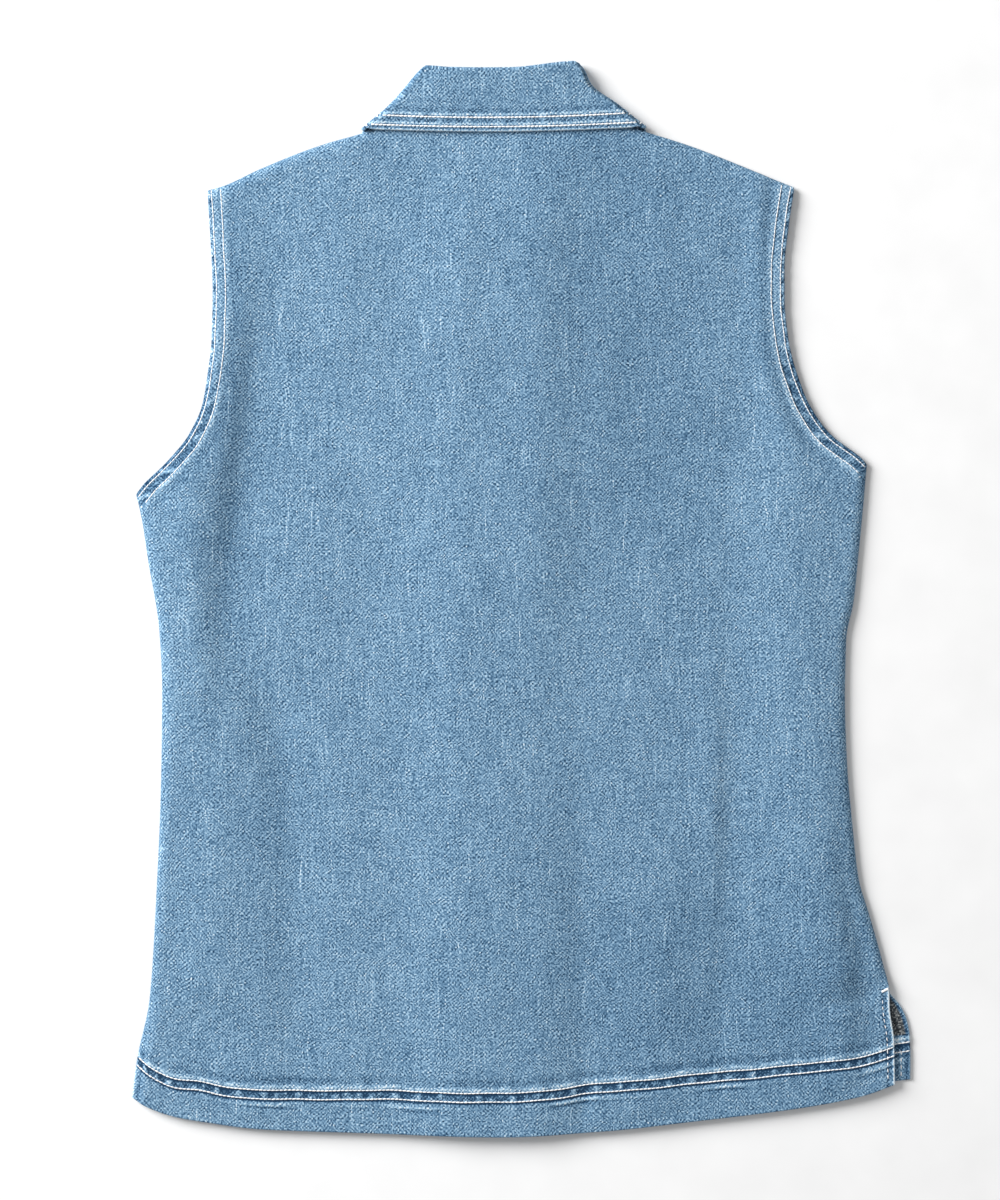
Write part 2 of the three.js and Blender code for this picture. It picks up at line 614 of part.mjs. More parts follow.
function collar() {
  const leafAtFold = layerRing("leaf", 0);
  const standAtFold = layerRing("stand", 0);
  const middle = RINGS.map(({ down, layer, turned }) => {
    if (layer !== "fold") return layerRing(layer, down);
    const angle = THREE.MathUtils.degToRad(turned);
    const beside = layerRing("leaf", 0.22);
    return leafAtFold.map((leaf, i) => {
      const stand = standAtFold[i];
      const centre = leaf.clone().add(stand).multiplyScalar(0.5);
      const out = leaf.clone().sub(beside[i]);
      const across = leaf.clone().sub(stand);
      out.addScaledVector(across, -out.dot(across) / across.lengthSq()).normalize();
      const radius = across.length() / 2;
      return centre
        .addScaledVector(across, 0.5 * Math.cos(angle))
        .addScaledVector(out, radius * Math.sin(angle));
    });
  });
  const normalAt = (i, j) => {
    const [i0, i1] = [Math.max(i - 1, 0), Math.min(i + 1, middle.length - 1)];
    const [j0, j1] = [Math.max(j - 1, 0), Math.min(j + 1, middle[0].length - 1)];
    const alongRing = middle[i][j1].clone().sub(middle[i][j0]);
    const acrossRings = middle[i1][j].clone().sub(middle[i0][j]);
    return alongRing.cross(acrossRings).normalize();
  };
  const moved = (distance) =>
    middle.map((ring, i) => ring.map((p, j) => p.clone().addScaledVector(normalAt(i, j), distance)));
  return wall(moved(HALF), moved(-HALF));
}

// A shank button, face down: a raised rim that rests on the surface round a dished face.
function button() {
  const profile = [
    [0, 0.7],
    [5.2, 0.7],
    [5.9, 0],
    [7.6, 0],
    [BUTTON_RADIUS, 0.8],
    [BUTTON_RADIUS, 1.5],
    [7.2, BUTTON_THICK],
    [0, BUTTON_THICK],
  ].map(([radius, height]) => new THREE.Vector2(radius, height));
  return new THREE.LatheGeometry(profile, 16).rotateX(Math.PI / 2);
}

const denim = new THREE.MeshStandardMaterial({ color: "#7b9ebb", roughness: 0.92, metalness: 0 });
const metal = new THREE.MeshStandardMaterial({ color: "#9a958c", roughness: 0.38, metalness: 1 });

const vest = new THREE.Group();
function add(name, geometry, material) {
  const mesh = new THREE.Mesh(geometry, material);
  mesh.name = name;
  vest.add(mesh);
  return mesh;
}

add("back_panel", backPanel(), denim);
add(
  "front_right",
  frontPanel({
    mirror: 1,
    side: RIGHT_FRONT_SIDE,
    armhole: frontArmhole(RIGHT_ARMHOLE, -1),
    under: rightFrontUnder,
  }),
  denim,
);
add(
  "front_left",
  frontPanel({
    mirror: -1,
    side: leftFrontSide,
    armhole: frontArmhole(LEFT_ARMHOLE, 1),
    under: leftFrontUnder,
  }),
  denim,
);
add("collar", collar(), denim);
for (let i = 0; i < BUTTONS; i += 1) {
  add(`button_${i + 1}`, button(), metal).position.set(0, TOP_BUTTON_Y - i * BUTTON_PITCH, 0);
}

const size = new THREE.Box3().setFromObject(vest);
const centre = size.getCenter(new THREE.Vector3());
vest.position.set(-centre.x, -centre.y, 0);

export default vest;
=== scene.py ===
"""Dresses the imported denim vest: washed denim with turned, stitched edges, a folded collar and tack buttons.

The vest lies on its front, seen from straight above, with its back up. Lengths in the tables are
millimetres from the centre back line and from a line across the vest at mid length, as its
pattern is drawn. Settings that a user would change are properties, in metres.
"""

import math

import bmesh
import bpy
import numpy as np
from mathutils import Matrix, Vector
from mathutils.bvhtree import BVHTree


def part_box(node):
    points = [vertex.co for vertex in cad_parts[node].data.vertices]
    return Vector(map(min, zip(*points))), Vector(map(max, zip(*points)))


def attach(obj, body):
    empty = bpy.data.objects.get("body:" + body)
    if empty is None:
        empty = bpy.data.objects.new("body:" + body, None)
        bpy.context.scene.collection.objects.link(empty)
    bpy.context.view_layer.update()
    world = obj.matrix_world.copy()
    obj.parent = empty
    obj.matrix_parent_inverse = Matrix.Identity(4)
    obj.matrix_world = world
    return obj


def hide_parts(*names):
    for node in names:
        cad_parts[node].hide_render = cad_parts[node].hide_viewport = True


bl_info = {
    "name": "Laid Denim Vest",
    "version": (1, 0, 0),
    "blender": (4, 5, 0),
    "location": "View3D > Sidebar > Vest",
    "description": "Makes the cloth, sewing, buttons and stage of a denim vest laid flat with its back up",
    "category": "Object",
}

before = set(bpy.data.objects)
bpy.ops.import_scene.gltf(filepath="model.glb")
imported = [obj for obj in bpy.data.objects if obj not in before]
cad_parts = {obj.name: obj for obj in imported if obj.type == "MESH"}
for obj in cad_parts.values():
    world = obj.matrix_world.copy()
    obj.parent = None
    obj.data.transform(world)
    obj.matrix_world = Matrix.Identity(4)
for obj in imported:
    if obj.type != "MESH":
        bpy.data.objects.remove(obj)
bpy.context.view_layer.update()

# Thickness of the cloth and depth of what is turned in.
CLOTH = 1.1
HEM_CLOTH = 2.2
TURNED_CLOTH = 2.0
PLACKET_CLOTH = 1.6
COLLAR_CLOTH = 1.8
SEAM_GAP = 0.3
HEM_DEPTH = 30
ARMHOLE_TURN = 12
VENT_TURN = 7
VENT_LENGTH = 62
OVERLAP = 15
# Shares of the way from the hem to the shoulder tip: the underarm, and the tops of hem and vents.
UNDERARM = 0.68
SIDE_LENGTH = 400
HEM_SHARE = HEM_DEPTH / SIDE_LENGTH * UNDERARM
VENT_SHARE = VENT_LENGTH / SIDE_LENGTH * UNDERARM
# A distance that no seam's wear reaches.
FAR = 99.0

# The outline. Each row is x, y.
HEM_CURVE = [
    (-245.5, -328.7), (-235.6, -334.6), (-217, -341.2), (-198.7, -344.5), (-160, -349.5),
    (-97, -351.8), (-2, -354.4), (64, -351.1), (130, -343.9), (196, -335.6),
    (236, -328), (259, -320.1),
]
LEFT_SIDE = [
    (-245.5, -328.7), (-242.2, -303.6), (-234, -264), (-229.7, -198), (-226.4, -118.8),
    (-225.7, -60), (-227.6, -20), (-235, 26.4), (-239, 52.8), (-242.9, 70),
]
LEFT_ARMHOLE = [
    (-242.9, 70), (-235.6, 78.5), (-226.4, 87.1), (-217.1, 97), (-207.9, 108.9),
    (-198.7, 129.4), (-195.2, 150), (-192.7, 172), (-192, 205), (-193.4, 238),
    (-195.4, 270.6),
]
RIGHT_SIDE = [
    (259, -320.1), (258.5, -292), (255.5, -269), (255.2, -257.4), (250.8, -237.6),
    (241.6, -205), (235.6, -184.8), (231, -145.2), (227.7, -105.6), (226.4, -66),
    (227.2, -26.4), (232.3, 0), (235, 26.4), (237.6, 52.8), (240.9, 89.8),
]
RIGHT_ARMHOLE = [
    (240.9, 89.8), (235.6, 95), (226.4, 101.6), (217.1, 108.9), (207.9, 120.1),
    (198.7, 137.3), (188.8, 171.6), (186.1, 200), (186.1, 218), (189.4, 251),
    (192.7, 272.6),
]
BACK_TOP = [
    (-195.4, 270.6), (-184.8, 273.6), (-160, 285.1), (-119, 301), (-97, 306.9),
    (-70, 315.4), (0, 319.5), (70, 316.6), (97, 308.2), (121, 301),
    (162, 285.1), (181, 277.2), (192.7, 272.6),
]
RIGHT_FRONT_SIDE = [
    (269.3, -316.8), (269.4, -301), (268.9, -287.5), (266.7, -276.5), (262.6, -268),
    (254.4, -257.4), (250, -237.6), (240.8, -205), (234.8, -184.8), (230.2, -145.2),
    (226.9, -105.6), (225.6, -66), (226.4, -26.4), (231.5, 0), (234.2, 26.4),
    (236.8, 52.8), (239.7, 88.6),
]
FRONT_NECK = [
    (-OVERLAP, 239.5), (2.5, 239.6), (26, 252), (48, 276), (62, 298), (70, 315.8),
]
FRONT_INSET = 1.2
FRONT_SCOOP = 13
LEFT_VENT_INSET = 11
NECK_HALF = 70
VENT_CORNER_X = 252
VENT_CORNER_RISE = 0.11

# Heights over the surface that the vest lies on. FLOOR_GAP keeps the cloth off that surface.
FLOOR_GAP = 0.02
BACK_LEVEL = 5.3
HEM_LIFT = 0.5
NECK_LIFT = 0.6
SIDE_EDGE = 1.9
SEAM_ROLL = 8
PLACKET_LIFT = 2.7
WING_LIFT = COLLAR_CLOTH + SEAM_GAP + 0.05
WING_START = (148, 182)
WING_REACH = (100, 124)
OVER_HEM = (-318, -278)
PLACKET_FLAT = OVERLAP + 1
PLACKET_SLOPE = 26
SEAM_TURN = 0.012
SHOULDER_COS = math.cos(math.radians(20))
# The ridge over the front bands: height, flat from and to, slopes to the left and right, fades upwards.
RIDGE = 2.9
RIDGE_FLAT = (-22, 17)
RIDGE_SLOPES = (58, 40)
RIDGE_TOP = (232, 302)
# The back's side edges: height, how far in they reach, and how round they are.
SEAM_SIDE = (SIDE_EDGE, SEAM_ROLL, 1.0)
ARMHOLE_SIDE = (4.5, 14, 0.0)
LEFT_VENT_SIDE = (2.9, 10, 0.0)
RIGHT_VENT_SIDE = (4.9, 12, 0.0)
# How thick the back's edges turn over, and where armholes, vents and collar are, in plan.
EDGE_TURN = 1.6
ARMHOLE_SPAN = (35, 305)
VENTS_BELOW = -240
UNDER_COLLAR = (298, 311)

# The back's soft folds: x0, y0, x1, y1, width, rise. A rise below 0 is a hollow.
FOLDS = [
    (-170, 165, -180, 5, 19, -1.8), (-210, 78, -199, -50, 16, 1.6), (-152, -80, -142, -280, 28, -1.2),
    (-190, -75, -196, -250, 20, 1.2), (142, 100, 136, -270, 32, -1.4), (192, 60, 203, -240, 24, 1.3),
    (-120, 250, -70, 110, 34, 0.8), (158, 230, 166, 120, 18, -0.9),
]
# Soft steps in the back that only the cloth itself has. Each runs down through its x, y points,
# and falls by its drop in millimetres from left to right there. width is how wide half a step is,
# reach how far to each side the cloth comes back to its own height.
STEPS = [
    {"width": 9.5, "reach": 44, "line": [
        (-167, 282, 0.3), (-166.5, 205, 1.5), (-170, 165, 3), (-173, 132, 4.2), (-177.5, 99, 4.3),
        (-182, 63, 3.7), (-186, 33, 2.1), (-190, 0, 1.2), (-194, -53, 1), (-200, -106, 0.8),
        (-206, -150, 0),
    ]},
    {"width": 15, "reach": 40, "line": [
        (-157, 260, 0), (-158, 190, 1), (-158, 140, 1.9), (-162, 80, 2.1), (-167, 20, 1.7),
        (-172, -40, 0),
    ]},
    {"width": 13, "reach": 33, "line": [
        (-167, -35, 0), (-163, -62, 0.9), (-157, -106, 2.4), (-151, -152, 2.2), (-149, -231, 1.6),
        (-147, -300, 1.7), (-146, -345, 0.8),
    ]},
    {"width": 27, "reach": 70, "line": [
        (60, 318, 1.4), (60, 265, 1.9), (70, 218, 2.7), (77, 165, 3.1), (75, 112, 2.9), (64, 53, 1.9),
        (50, 0, 0.6), (42, -33, 0),
    ]},
    {"width": 13, "reach": 34, "line": [(38, 40, 0), (37, -20, -0.8), (37, -90, -1.4), (38, -150, 0)]},
    {"width": 7, "reach": 22, "line": [
        (143, 150, 0), (143, 60, 0.4), (144, -26, 0.8), (144.5, -79, 1.7), (144.5, -132, 2.6),
        (143, -178, 1.8), (140.6, -231, 1.2), (138, -270, 1), (137, -320, 0.6),
    ]},
    {"width": 20, "reach": 40, "line": [
        (120, -125, 0), (121, -160, 1.2), (122, -205, 2.2), (118, -270, 2.2), (112, -345, 1.4),
    ]},
    {"width": 9, "reach": 25, "line": [
        (46, -130, 0), (44, -200, 0.4), (44, -240, 0.7), (48, -297, 0.6), (50, -345, 0.4),
    ]},
    {"width": 10, "reach": 28, "line": [
        (216, 40, 0), (217, -66, 0.8), (219, -132, 1.4), (223, -185, 2.6), (229, -231, 3.6),
        (232, -270, 3.2), (233, -330, 1.4),
    ]},
    {"width": 4.5, "reach": 12, "line": [(173, 282, 1.3), (173, 235, 1.3), (173.5, 198, 0.8), (176, 160, 0)]},
    {"width": 8, "reach": 20, "line": [
        (172, 205, 0), (176, 172, 1.8), (182, 145, 2.6), (190, 119, 2.6), (202, 96, 1.8), (214, 80, 0),
    ]},
    {"width": 12, "reach": 34, "line": [
        (-88, 240, 0), (-84, 150, -0.6), (-80, 40, -0.7), (-86, -60, -0.5), (-90, -130, 0),
    ]},
    {"width": 7, "reach": 20, "line": [(-22, 296, 0), (-18, 270, 0.5), (-20, 200, 0.4), (-24, 120, 0)]},
    {"width": 9, "reach": 26, "line": [(14, -60, 0), (10, -150, 0.5), (2, -260, 0.6), (0, -330, 0)]},
]
# The steps fade out at the panel's edges, less so at the armholes, and under the collar.
STEP_EDGE = (1.5, 11.0)
HEM_HOLDS = 0.8
ARMHOLE_FREE = 6
COLLAR_HOLDS = 0.7
# Share of a step's drop that its whole stretch is lifted by, and the lowest that the back dips.
STEP_LIFT = 0.25
BACK_LOWEST = 2.4
# Short creases that run across: x0, y0, x1, y1, width, rise.
CREASES = [
    (-186, -20, -150, -80, 12, -0.5), (228, -246, 212, -252, 3.5, 1.0), (240, -262, 214, -268, 4.5, -0.9),
    (247, -250, 228, -234, 3, 0.7), (-236, -262, -206, -268, 5, 0.6), (-240, -226, -214, -238, 6, -0.5),
    (52, -328, 53, -352, 5, -0.9), (214, 116, 196, 152, 6, -0.5), (-100, 296, -60, 268, 12, 0.5),
    (-40, 20, 60, -10, 22, 0.4), (70, -60, 170, -92, 16, 0.35),
]
# Low folds that lift a front off the surface: x, y, x, y, width, rise, x to the side from the centre.
FRONT_FOLDS = {
    1: [
        (90, 120, 84, -200, 16, 0.9), (108, 60, 112, -250, 12, 0.7), (60, 180, 70, 60, 12, 0.6),
        (176, -40, 184, -220, 9, 0.7), (60, -262, 110, -270, 8, 0.5),
    ],
    -1: [
        (80, 90, 96, -150, 14, 0.8), (118, 60, 108, -120, 12, 0.7), (112, -150, 108, -280, 10, 0.7),
        (70, 210, 110, 140, 12, 0.6), (214, -60, 218, -200, 6, 0.4),
    ],
}
FOLD_FADE = (2, 16)
PLACKET_ROWS = (3.0, 2 * OVERLAP - 3.0)
# Patches of darker or paler tone: x, y, half width, half height, tone. They are partly the wash's
# uneven dye and partly painted light and shade, where the back lies in hollows and under the collar.
WASH_AND_SHADE = [
    (84, 190, 60, 130, -0.1), (120, -265, 95, 80, -0.14), (214, -262, 34, 70, -0.16),
    (-178, 80, 14, 95, -0.14), (62, 305, 60, 26, -0.12), (-100, 60, 70, 260, 0.02),
    (178, 60, 30, 160, 0.05), (-150, -150, 18, 90, -0.06),
]

# The upper row of stitching on the hem: x, height over the hem's edge. The lower row is below it.
HEM_ROW = [
    (-246, 31.5), (-241.6, 30.3), (-229, 26.6), (-216, 25.3), (-200, 26.5),
    (-185, 25.9), (-161, 26.3), (-68, 28.9), (-8.6, 29.2), (37.6, 30.6), (64, 32),
    (170, 30.2), (222, 27.5), (259, 25.5), (270, 25.5),
]
TWIN = 5.9
ROW_WANDER = 0.38
ARMHOLE_ROWS = (2.9, 8.9)
VENT_ROW = 4.8
LEFT_VENT_STREAK = 4.2
COLLAR_ROWS = (2.8, 9.0)
FRONT_VENT_ROW = 6.2
FRONT_VENT_STRIP = 3.0
UNDER_GROOVE = 0.3
# How much of a pucker's height wear makes, from the deepest hollow to the highest ridge.
PUCKER_RANGE = (-0.8, 1.0)
# Share of a height over the hem that is the distance from it, because the hem slopes.
HEM_SLOPE = 0.985
STITCHES_AT_ONCE = 30
CAST_HEIGHT = 0.05
ARMHOLE_STITCHES = {"width": 0.78, "fill": 0.95}
VENT_STITCHES = {"width": 0.75, "pitch": 1.5, "fill": 0.55}
HIDDEN_STITCHES = {"width": 0.62, "fill": 0.95, "proud": -0.1}
# Where rows of stitches start and end, in x or y, and the bar at the top of the open vent.
HEM_ROW_SPAN = (-243.5, 258.4)
FRONT_BAND_SPAN = (-345, 200)
FRONT_VENT_ACROSS = (250, 268.9)
FRONT_VENT_DOWN = (-315.5, -297)
FRONT_ROW_DROP = 0.6
BARTACK_ENDS = ((250.2, -258.6), (254.0, -256.7))
BARTACK_ACROSS = np.array([0.38, -0.62])
# A stitch of that bar: its half length as a share of its way, then in metres its half width and
# half height, and how far its middle is over the cloth.
BARTACK_REACH = 0.62
BARTACK_HALF = (0.00034, 0.0004)
BARTACK_PROUD = 0.00025
TWILL_THREADS = 3
# How much the cloth's grain varies in tone: each crossing of threads, the shares that those
# beside it take away, and the twill's waves to the right and left.
CROSSING_TONE = 0.69
BESIDE = (((1, -1, 0), 0.12), ((1, 0, 0), 0.1), ((-1, 0, 0), 0.1), ((0, 1, 0), 0.1), ((0, -1, 0), 0.1))
TWILL_TONES = (0.288, 0.234)
# Half of the laid vest's height, in millimetres.
LAID_MIDDLE = 5.0


def to_linear(code):
    """An sRGB hex colour as linear red, green and blue."""
    parts = [int(code[i:i + 2], 16) / 255 for i in (1, 3, 5)]
    return tuple(c / 12.92 if c <= 0.04045 else ((c + 0.055) / 1.055) ** 2.4 for c in parts)


def smoothstep(x, low, high):
    t = np.clip((np.asarray(x, float) - low) / (high - low), 0, 1)
    return t * t * (3 - 2 * t)


def bell(t):
    return np.exp(-np.square(t))


def lerp(a, b, t):
    return a + (b - a) * t


def ripple(t, seed):
    """An uneven wave between about -1 and 1, the same on each run."""
    long, short = 0.45 * np.sin(0.53 * t + 2.3 * seed), 0.62 * np.sin(2.17 * t + 1.7 * seed)
    return (np.sin(t + seed) + short + long) / 1.7


def smooth_through(rows, across=0, up=1):
    """A curve through a table's points that never overshoots them."""
    at, value = (np.array([row[i] for row in rows], float) for i in (across, up))
    step = np.diff(at)
    slope = np.diff(value) / step
    before, after = slope[:-1], slope[1:]
    same = before * after > 0
    middle = np.where(same, 2 * before * after / np.where(same, before + after, 1), 0)
    tangent = np.concatenate([slope[:1], middle, slope[-1:]])

    def curve(x):
        i = np.clip(np.searchsorted(at, x) - 1, 0, len(step) - 1)
        t = np.clip((x - at[i]) / step[i], 0, 1)
        u = 1 - t
        ends = value[i] * (1 + 2 * t) * u * u + value[i + 1] * (3 - 2 * t) * t * t
        return ends + step[i] * (tangent[i] * t * u * u - tangent[i + 1] * t * t * u)

    return curve


hem_y = smooth_through(HEM_CURVE)
back_top_y = smooth_through(BACK_TOP)
front_neck_y = smooth_through(FRONT_NECK)
even_hem_row = smooth_through(HEM_ROW)


def hem_row(x):
    """Height of the upper row over the hem's edge. It wanders a little, as a sewer's hand does."""
    return even_hem_row(x) + ROW_WANDER * ripple(np.asarray(x) / 11, 2.0)


# The centre back line and the mid length line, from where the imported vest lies.
CENTRE = (
    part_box("back_panel")[0][0] * 1000 - LEFT_SIDE[0][0],
    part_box("back_panel")[0][1] * 1000 - min(y for _, y in HEM_CURVE),
)


def place(points):
    """Pattern millimetres to metres in the frame."""
    moved = np.array(points, float)
    moved[..., 0] += CENTRE[0]
    moved[..., 1] += CENTRE[1]
    return moved / 1000


def side_edge(side, armhole):
    """A panel's edge, from a share of the way from hem to shoulder tip to x and y."""
    side_x, armhole_x = smooth_through(side, 1, 0), smooth_through(armhole, 1, 0)
    low, corner, tip = side[0][1], side[-1][1], armhole[-1][1]

    def edge(up):
        y_side = lerp(low, corner, up / UNDERARM)
        y_armhole = lerp(corner, tip, (up - UNDERARM) / (1 - UNDERARM))
        on_side = up <= UNDERARM
        x = np.where(on_side, side_x(y_side), armhole_x(y_armhole))
        return x, np.where(on_side, y_side, y_armhole)

    return edge


def plan_of(left, right, bottom_y, top_y):
    """The plan of a panel between four edges, across and up from 0 to 1."""
    ends = [np.array(edge(np.array(share, float))) for share in (0.0, 1.0) for edge in (left, right)]
    (x0, y0), (x1, y1), (x2, y2), (x3, y3) = ends

    def at(across, up):
        (lx, ly), (rx, ry) = left(up), right(up)
        bottom = bottom_y(lerp(x0, x1, across)) - lerp(y0, y1, across)
        top = top_y(lerp(x2, x3, across)) - lerp(y2, y3, across)
        x = lerp(lx, rx, across)
        y = lerp(ly, ry, across) + (1 - up) * bottom + up * top
        return x, y, across * (rx - lx), (1 - across) * (rx - lx)

    return at


def line_distance(x, y, x0, y0, x1, y1):
    dx, dy = x1 - x0, y1 - y0
    along = np.clip(((x - x0) * dx + (y - y0) * dy) / (dx * dx + dy * dy), 0, 1)
    return np.hypot(x - x0 - along * dx, y - y0 - along * dy)


def fold_heights(x, y, folds):
    """Sum of soft folds at points in plan. A fold's row is x0, y0, x1, y1, width, rise."""
    return sum(rise * bell(line_distance(x, y, *ends) / width) for *ends, width, rise in folds)


class EdgeLine:
    """A seam or edge in plan, for the distance of points from it and their place along it."""

    def __init__(self, points):
        self.points = np.array(points, float)
        self.steps = np.diff(self.points, axis=0)
        self.lengths = np.hypot(*self.steps.T)
        self.starts = np.concatenate([[0], np.cumsum(self.lengths)])

    def measure(self, x, y):
        """Distance from the line and distance along it, for arrays of any shape."""
        shape = np.shape(x)
        px, py = np.ravel(x), np.ravel(y)
        best = np.full(px.shape, np.inf)
        along = np.zeros(px.shape)
        for (sx, sy), (dx, dy), length, start in zip(self.points, self.steps, self.lengths, self.starts):
            t = np.clip(((px - sx) * dx + (py - sy) * dy) / length**2, 0, 1)
            distance = np.hypot(px - sx - t * dx, py - sy - t * dy)
            nearer = distance < best
            best = np.where(nearer, distance, best)
            along = np.where(nearer, start + t * length, along)
        return best.reshape(shape), along.reshape(shape)

    def moved(self, distance, side):
        """The line moved sideways in plan, to the left of its way for side 1."""
        tangent = np.gradient(self.points, axis=0)
        tangent /= np.hypot(*tangent.T)[:, None]
        normal = np.stack([-tangent[:, 1], tangent[:, 0]], axis=1) * side
        return self.points + normal * np.reshape(distance, (-1, 1))


def edge_points(edge, low, high, count):
    return np.stack(edge(np.linspace(low, high, count)), axis=1)


LEFT_BACK = side_edge(LEFT_SIDE, LEFT_ARMHOLE)
RIGHT_BACK = side_edge(RIGHT_SIDE, RIGHT_ARMHOLE)
back_plan = plan_of(LEFT_BACK, RIGHT_BACK, hem_y, back_top_y)
LEFT_HOLE = EdgeLine(edge_points(LEFT_BACK, UNDERARM + 1e-6, 1, 70))
RIGHT_HOLE = EdgeLine(edge_points(RIGHT_BACK, UNDERARM + 1e-6, 1, 70))
LEFT_VENT = EdgeLine(edge_points(LEFT_BACK, 0, VENT_SHARE, 20))
RIGHT_VENT = EdgeLine(edge_points(RIGHT_BACK, 0, VENT_SHARE, 20))


def step_heights(x, y, steps):
    """Sum of the soft steps at points in plan."""
    height = np.zeros(np.shape(x))
    for step in steps:
        rows = sorted(step["line"], key=lambda row: row[1])
        line, drop = smooth_through(rows, 1, 0), smooth_through(rows, 1, 2)
        across = x - line(y)
        size = np.where((y < rows[0][1]) | (y > rows[-1][1]), 0, drop(y))
        form = STEP_LIFT - np.tanh(1.2 * across / step["width"]) / 2
        height = height + size * form * bell(across / step["reach"])
    return height


def over_hem(y):
    return smoothstep(y, *OVER_HEM)


def wing_share(x, y):
    return smoothstep(y, *WING_START) * (1 - smoothstep(np.abs(x), *WING_REACH))


def placket_slope(x):
    return 1 - smoothstep(np.abs(x) - PLACKET_FLAT, 0, PLACKET_SLOPE)


def right_front_under(x, y):
    return np.maximum(PLACKET_LIFT * placket_slope(x) * over_hem(y), WING_LIFT * wing_share(x, y))


def left_front_under(x, y):
    placket = np.where(y < hem_y(0.0) + HEM_DEPTH + 4, HEM_CLOTH, PLACKET_CLOTH)
    on_right = PLACKET_LIFT * over_hem(y) + placket + SEAM_GAP
    share = np.where(x > 0, 1, placket_slope(x))
    return np.maximum(on_right * share, WING_LIFT * wing_share(x, y))


def back_crown(x, y, up):
    """Height of the back's upper face away from its edges."""
    lift = HEM_LIFT * (1 - smoothstep(up, HEM_SHARE, VENT_SHARE)) + NECK_LIFT * wing_share(x, y)
    left, right = (RIDGE_FLAT[0] - x) / RIDGE_SLOPES[0], (x - RIDGE_FLAT[1]) / RIDGE_SLOPES[1]
    beside = np.maximum(np.maximum(left, right), 0)
    ridge = RIDGE * (1 - smoothstep(beside, 0, 1)) * (1 - smoothstep(y, *RIDGE_TOP))
    return BACK_LEVEL + lift + ridge + fold_heights(x, y, FOLDS)


def edge_drop(distance, reach, round_share):
    t = 1 - np.clip(distance / reach, 0, 1)
    return lerp(t * t, 1 - np.sqrt(1 - t * t), round_share)


def side_shape(vent, up):
    """Height, reach and roundness of the back's side: vent edge, then side seam, then armhole."""
    to_seam = smoothstep(up, VENT_SHARE, VENT_SHARE + 2 * SEAM_TURN)
    to_hole = smoothstep(up, UNDERARM - SEAM_TURN, UNDERARM + SEAM_TURN)
    return [lerp(lerp(v, s, to_seam), a, to_hole) for v, s, a in zip(vent, SEAM_SIDE, ARMHOLE_SIDE)]


def back_form(across, up):
    """The back's smooth upper face: x, y and height."""
    x, y, from_left, from_right = back_plan(across, up)
    crown = back_crown(x, y, up)
    left_z, left_reach, left_round = side_shape(LEFT_VENT_SIDE, up)
    right_z, right_reach, right_round = side_shape(RIGHT_VENT_SIDE, up)
    z = crown - (crown - left_z) * edge_drop(from_left, left_reach, left_round)
    z = z - (crown - right_z) * edge_drop(from_right, right_reach, right_round)
    shoulder_z = SIDE_EDGE + WING_LIFT * wing_share(x, y)
    from_top = (back_top_y(x) - y) * SHOULDER_COS
    on_shoulder = smoothstep(np.abs(x), NECK_HALF - 2, NECK_HALF + 14)
    z = z - (z - shoulder_z) * edge_drop(from_top, SEAM_ROLL, 1.0) * on_shoulder
    return x, y, z


# In the seams below, an abraded ridge is 1 and a dark, drawn-in hollow -1; the dark lines beside
# the stitched rows are also painted shade. Each term is an amount times a bell round a distance
# in millimetres, broken up by a ripple along the seam.
def twin_seam(s, along, seed):
    """Wear, painted shade and relief beside a pair of stitched rows: s is the height over the upper
    row, the lower row is TWIN below."""
    pale = bell((s - 1.9 - 0.4 * ripple(along / 6, seed)) / 0.95) * (0.75 + 0.45 * ripple(along / 3.1, seed))
    shade = -0.34 * bell((s - 6.4) / 2.4) * (0.75 + 0.4 * ripple(along / 21, seed + 1))
    inside = smoothstep(s, -TWIN + 0.1, -TWIN + 1.0) * (1 - smoothstep(s, -1.0, -0.1))
    puckers = np.clip(0.12 + ripple((along + 0.3 * s) / 1.25, seed + 2), 0, 1) ** 1.2
    between = inside * (-0.95 + 1.7 * puckers)
    # Painted shade: a dark line just below each row, where the thread's shadow falls and the needle draws the
    # cloth in.
    shade_under_rows = -2.3 * (bell((s + 1.0) / 0.55) + bell((s + TWIN + 1.0) / 0.55))
    wander = s + TWIN + 4.2 + 0.8 * ripple(along / 26, seed + 3)
    broken = np.clip(0.25 + ripple(along / 17, seed + 4), 0, 1)
    ridge = 1.1 * broken * bell(wander / 0.8) - 0.9 * broken * bell((wander + 1.6) / 0.8)
    spread = 0.26 * ripple((along + 0.3 * s) / 1.7, seed + 5) * bell((s + 3) / 9)
    return pale + shade + between + shade_under_rows + ridge + spread


def armhole_seam(s, along, seed):
    """The same beside an armhole: s is the distance in from its edge. The curve at the underarm
    is drawn in more than the straight above it."""
    first, second = ARMHOLE_ROWS
    curve = 1 - smoothstep(along, 70, 105)
    rope = ripple((along + 1.1 * s) / 1.5, seed)
    roped = lerp(0.1, -0.6, curve) + lerp(0.85, 0.6, curve) * rope
    edge = (1 - smoothstep(s, first - 0.9, first - 0.1)) * roped
    rim = -0.35 * bell(s / 0.5)
    inside = smoothstep(s, first + 0.1, first + 0.9) * (1 - smoothstep(s, second - 0.9, second - 0.1))
    slanted = np.clip(ripple((along - 1.3 * s) / 2.0, seed + 1), 0, 1) ** 1.6
    between = inside * lerp(0.12 + 0.35 * slanted, -0.6 + 1.5 * slanted, curve)
    # Painted shade: a dark line beside each row, where the thread's shadow falls and the needle draws the
    # cloth in.
    shade_beside_rows = -0.42 * (bell((s - first + 0.9) / 0.45) + bell((s - second + 0.9) / 0.45))
    uneven = 0.8 + 0.3 * ripple(along / 8, seed + 2)
    pale = lerp(0.42, 0.72, curve) * bell((s - second - 1.6) / 1.1) * uneven
    shade = -0.16 * bell((s - second - 6.5) / 3)
    return edge + rim + between + shade_beside_rows + pale + shade


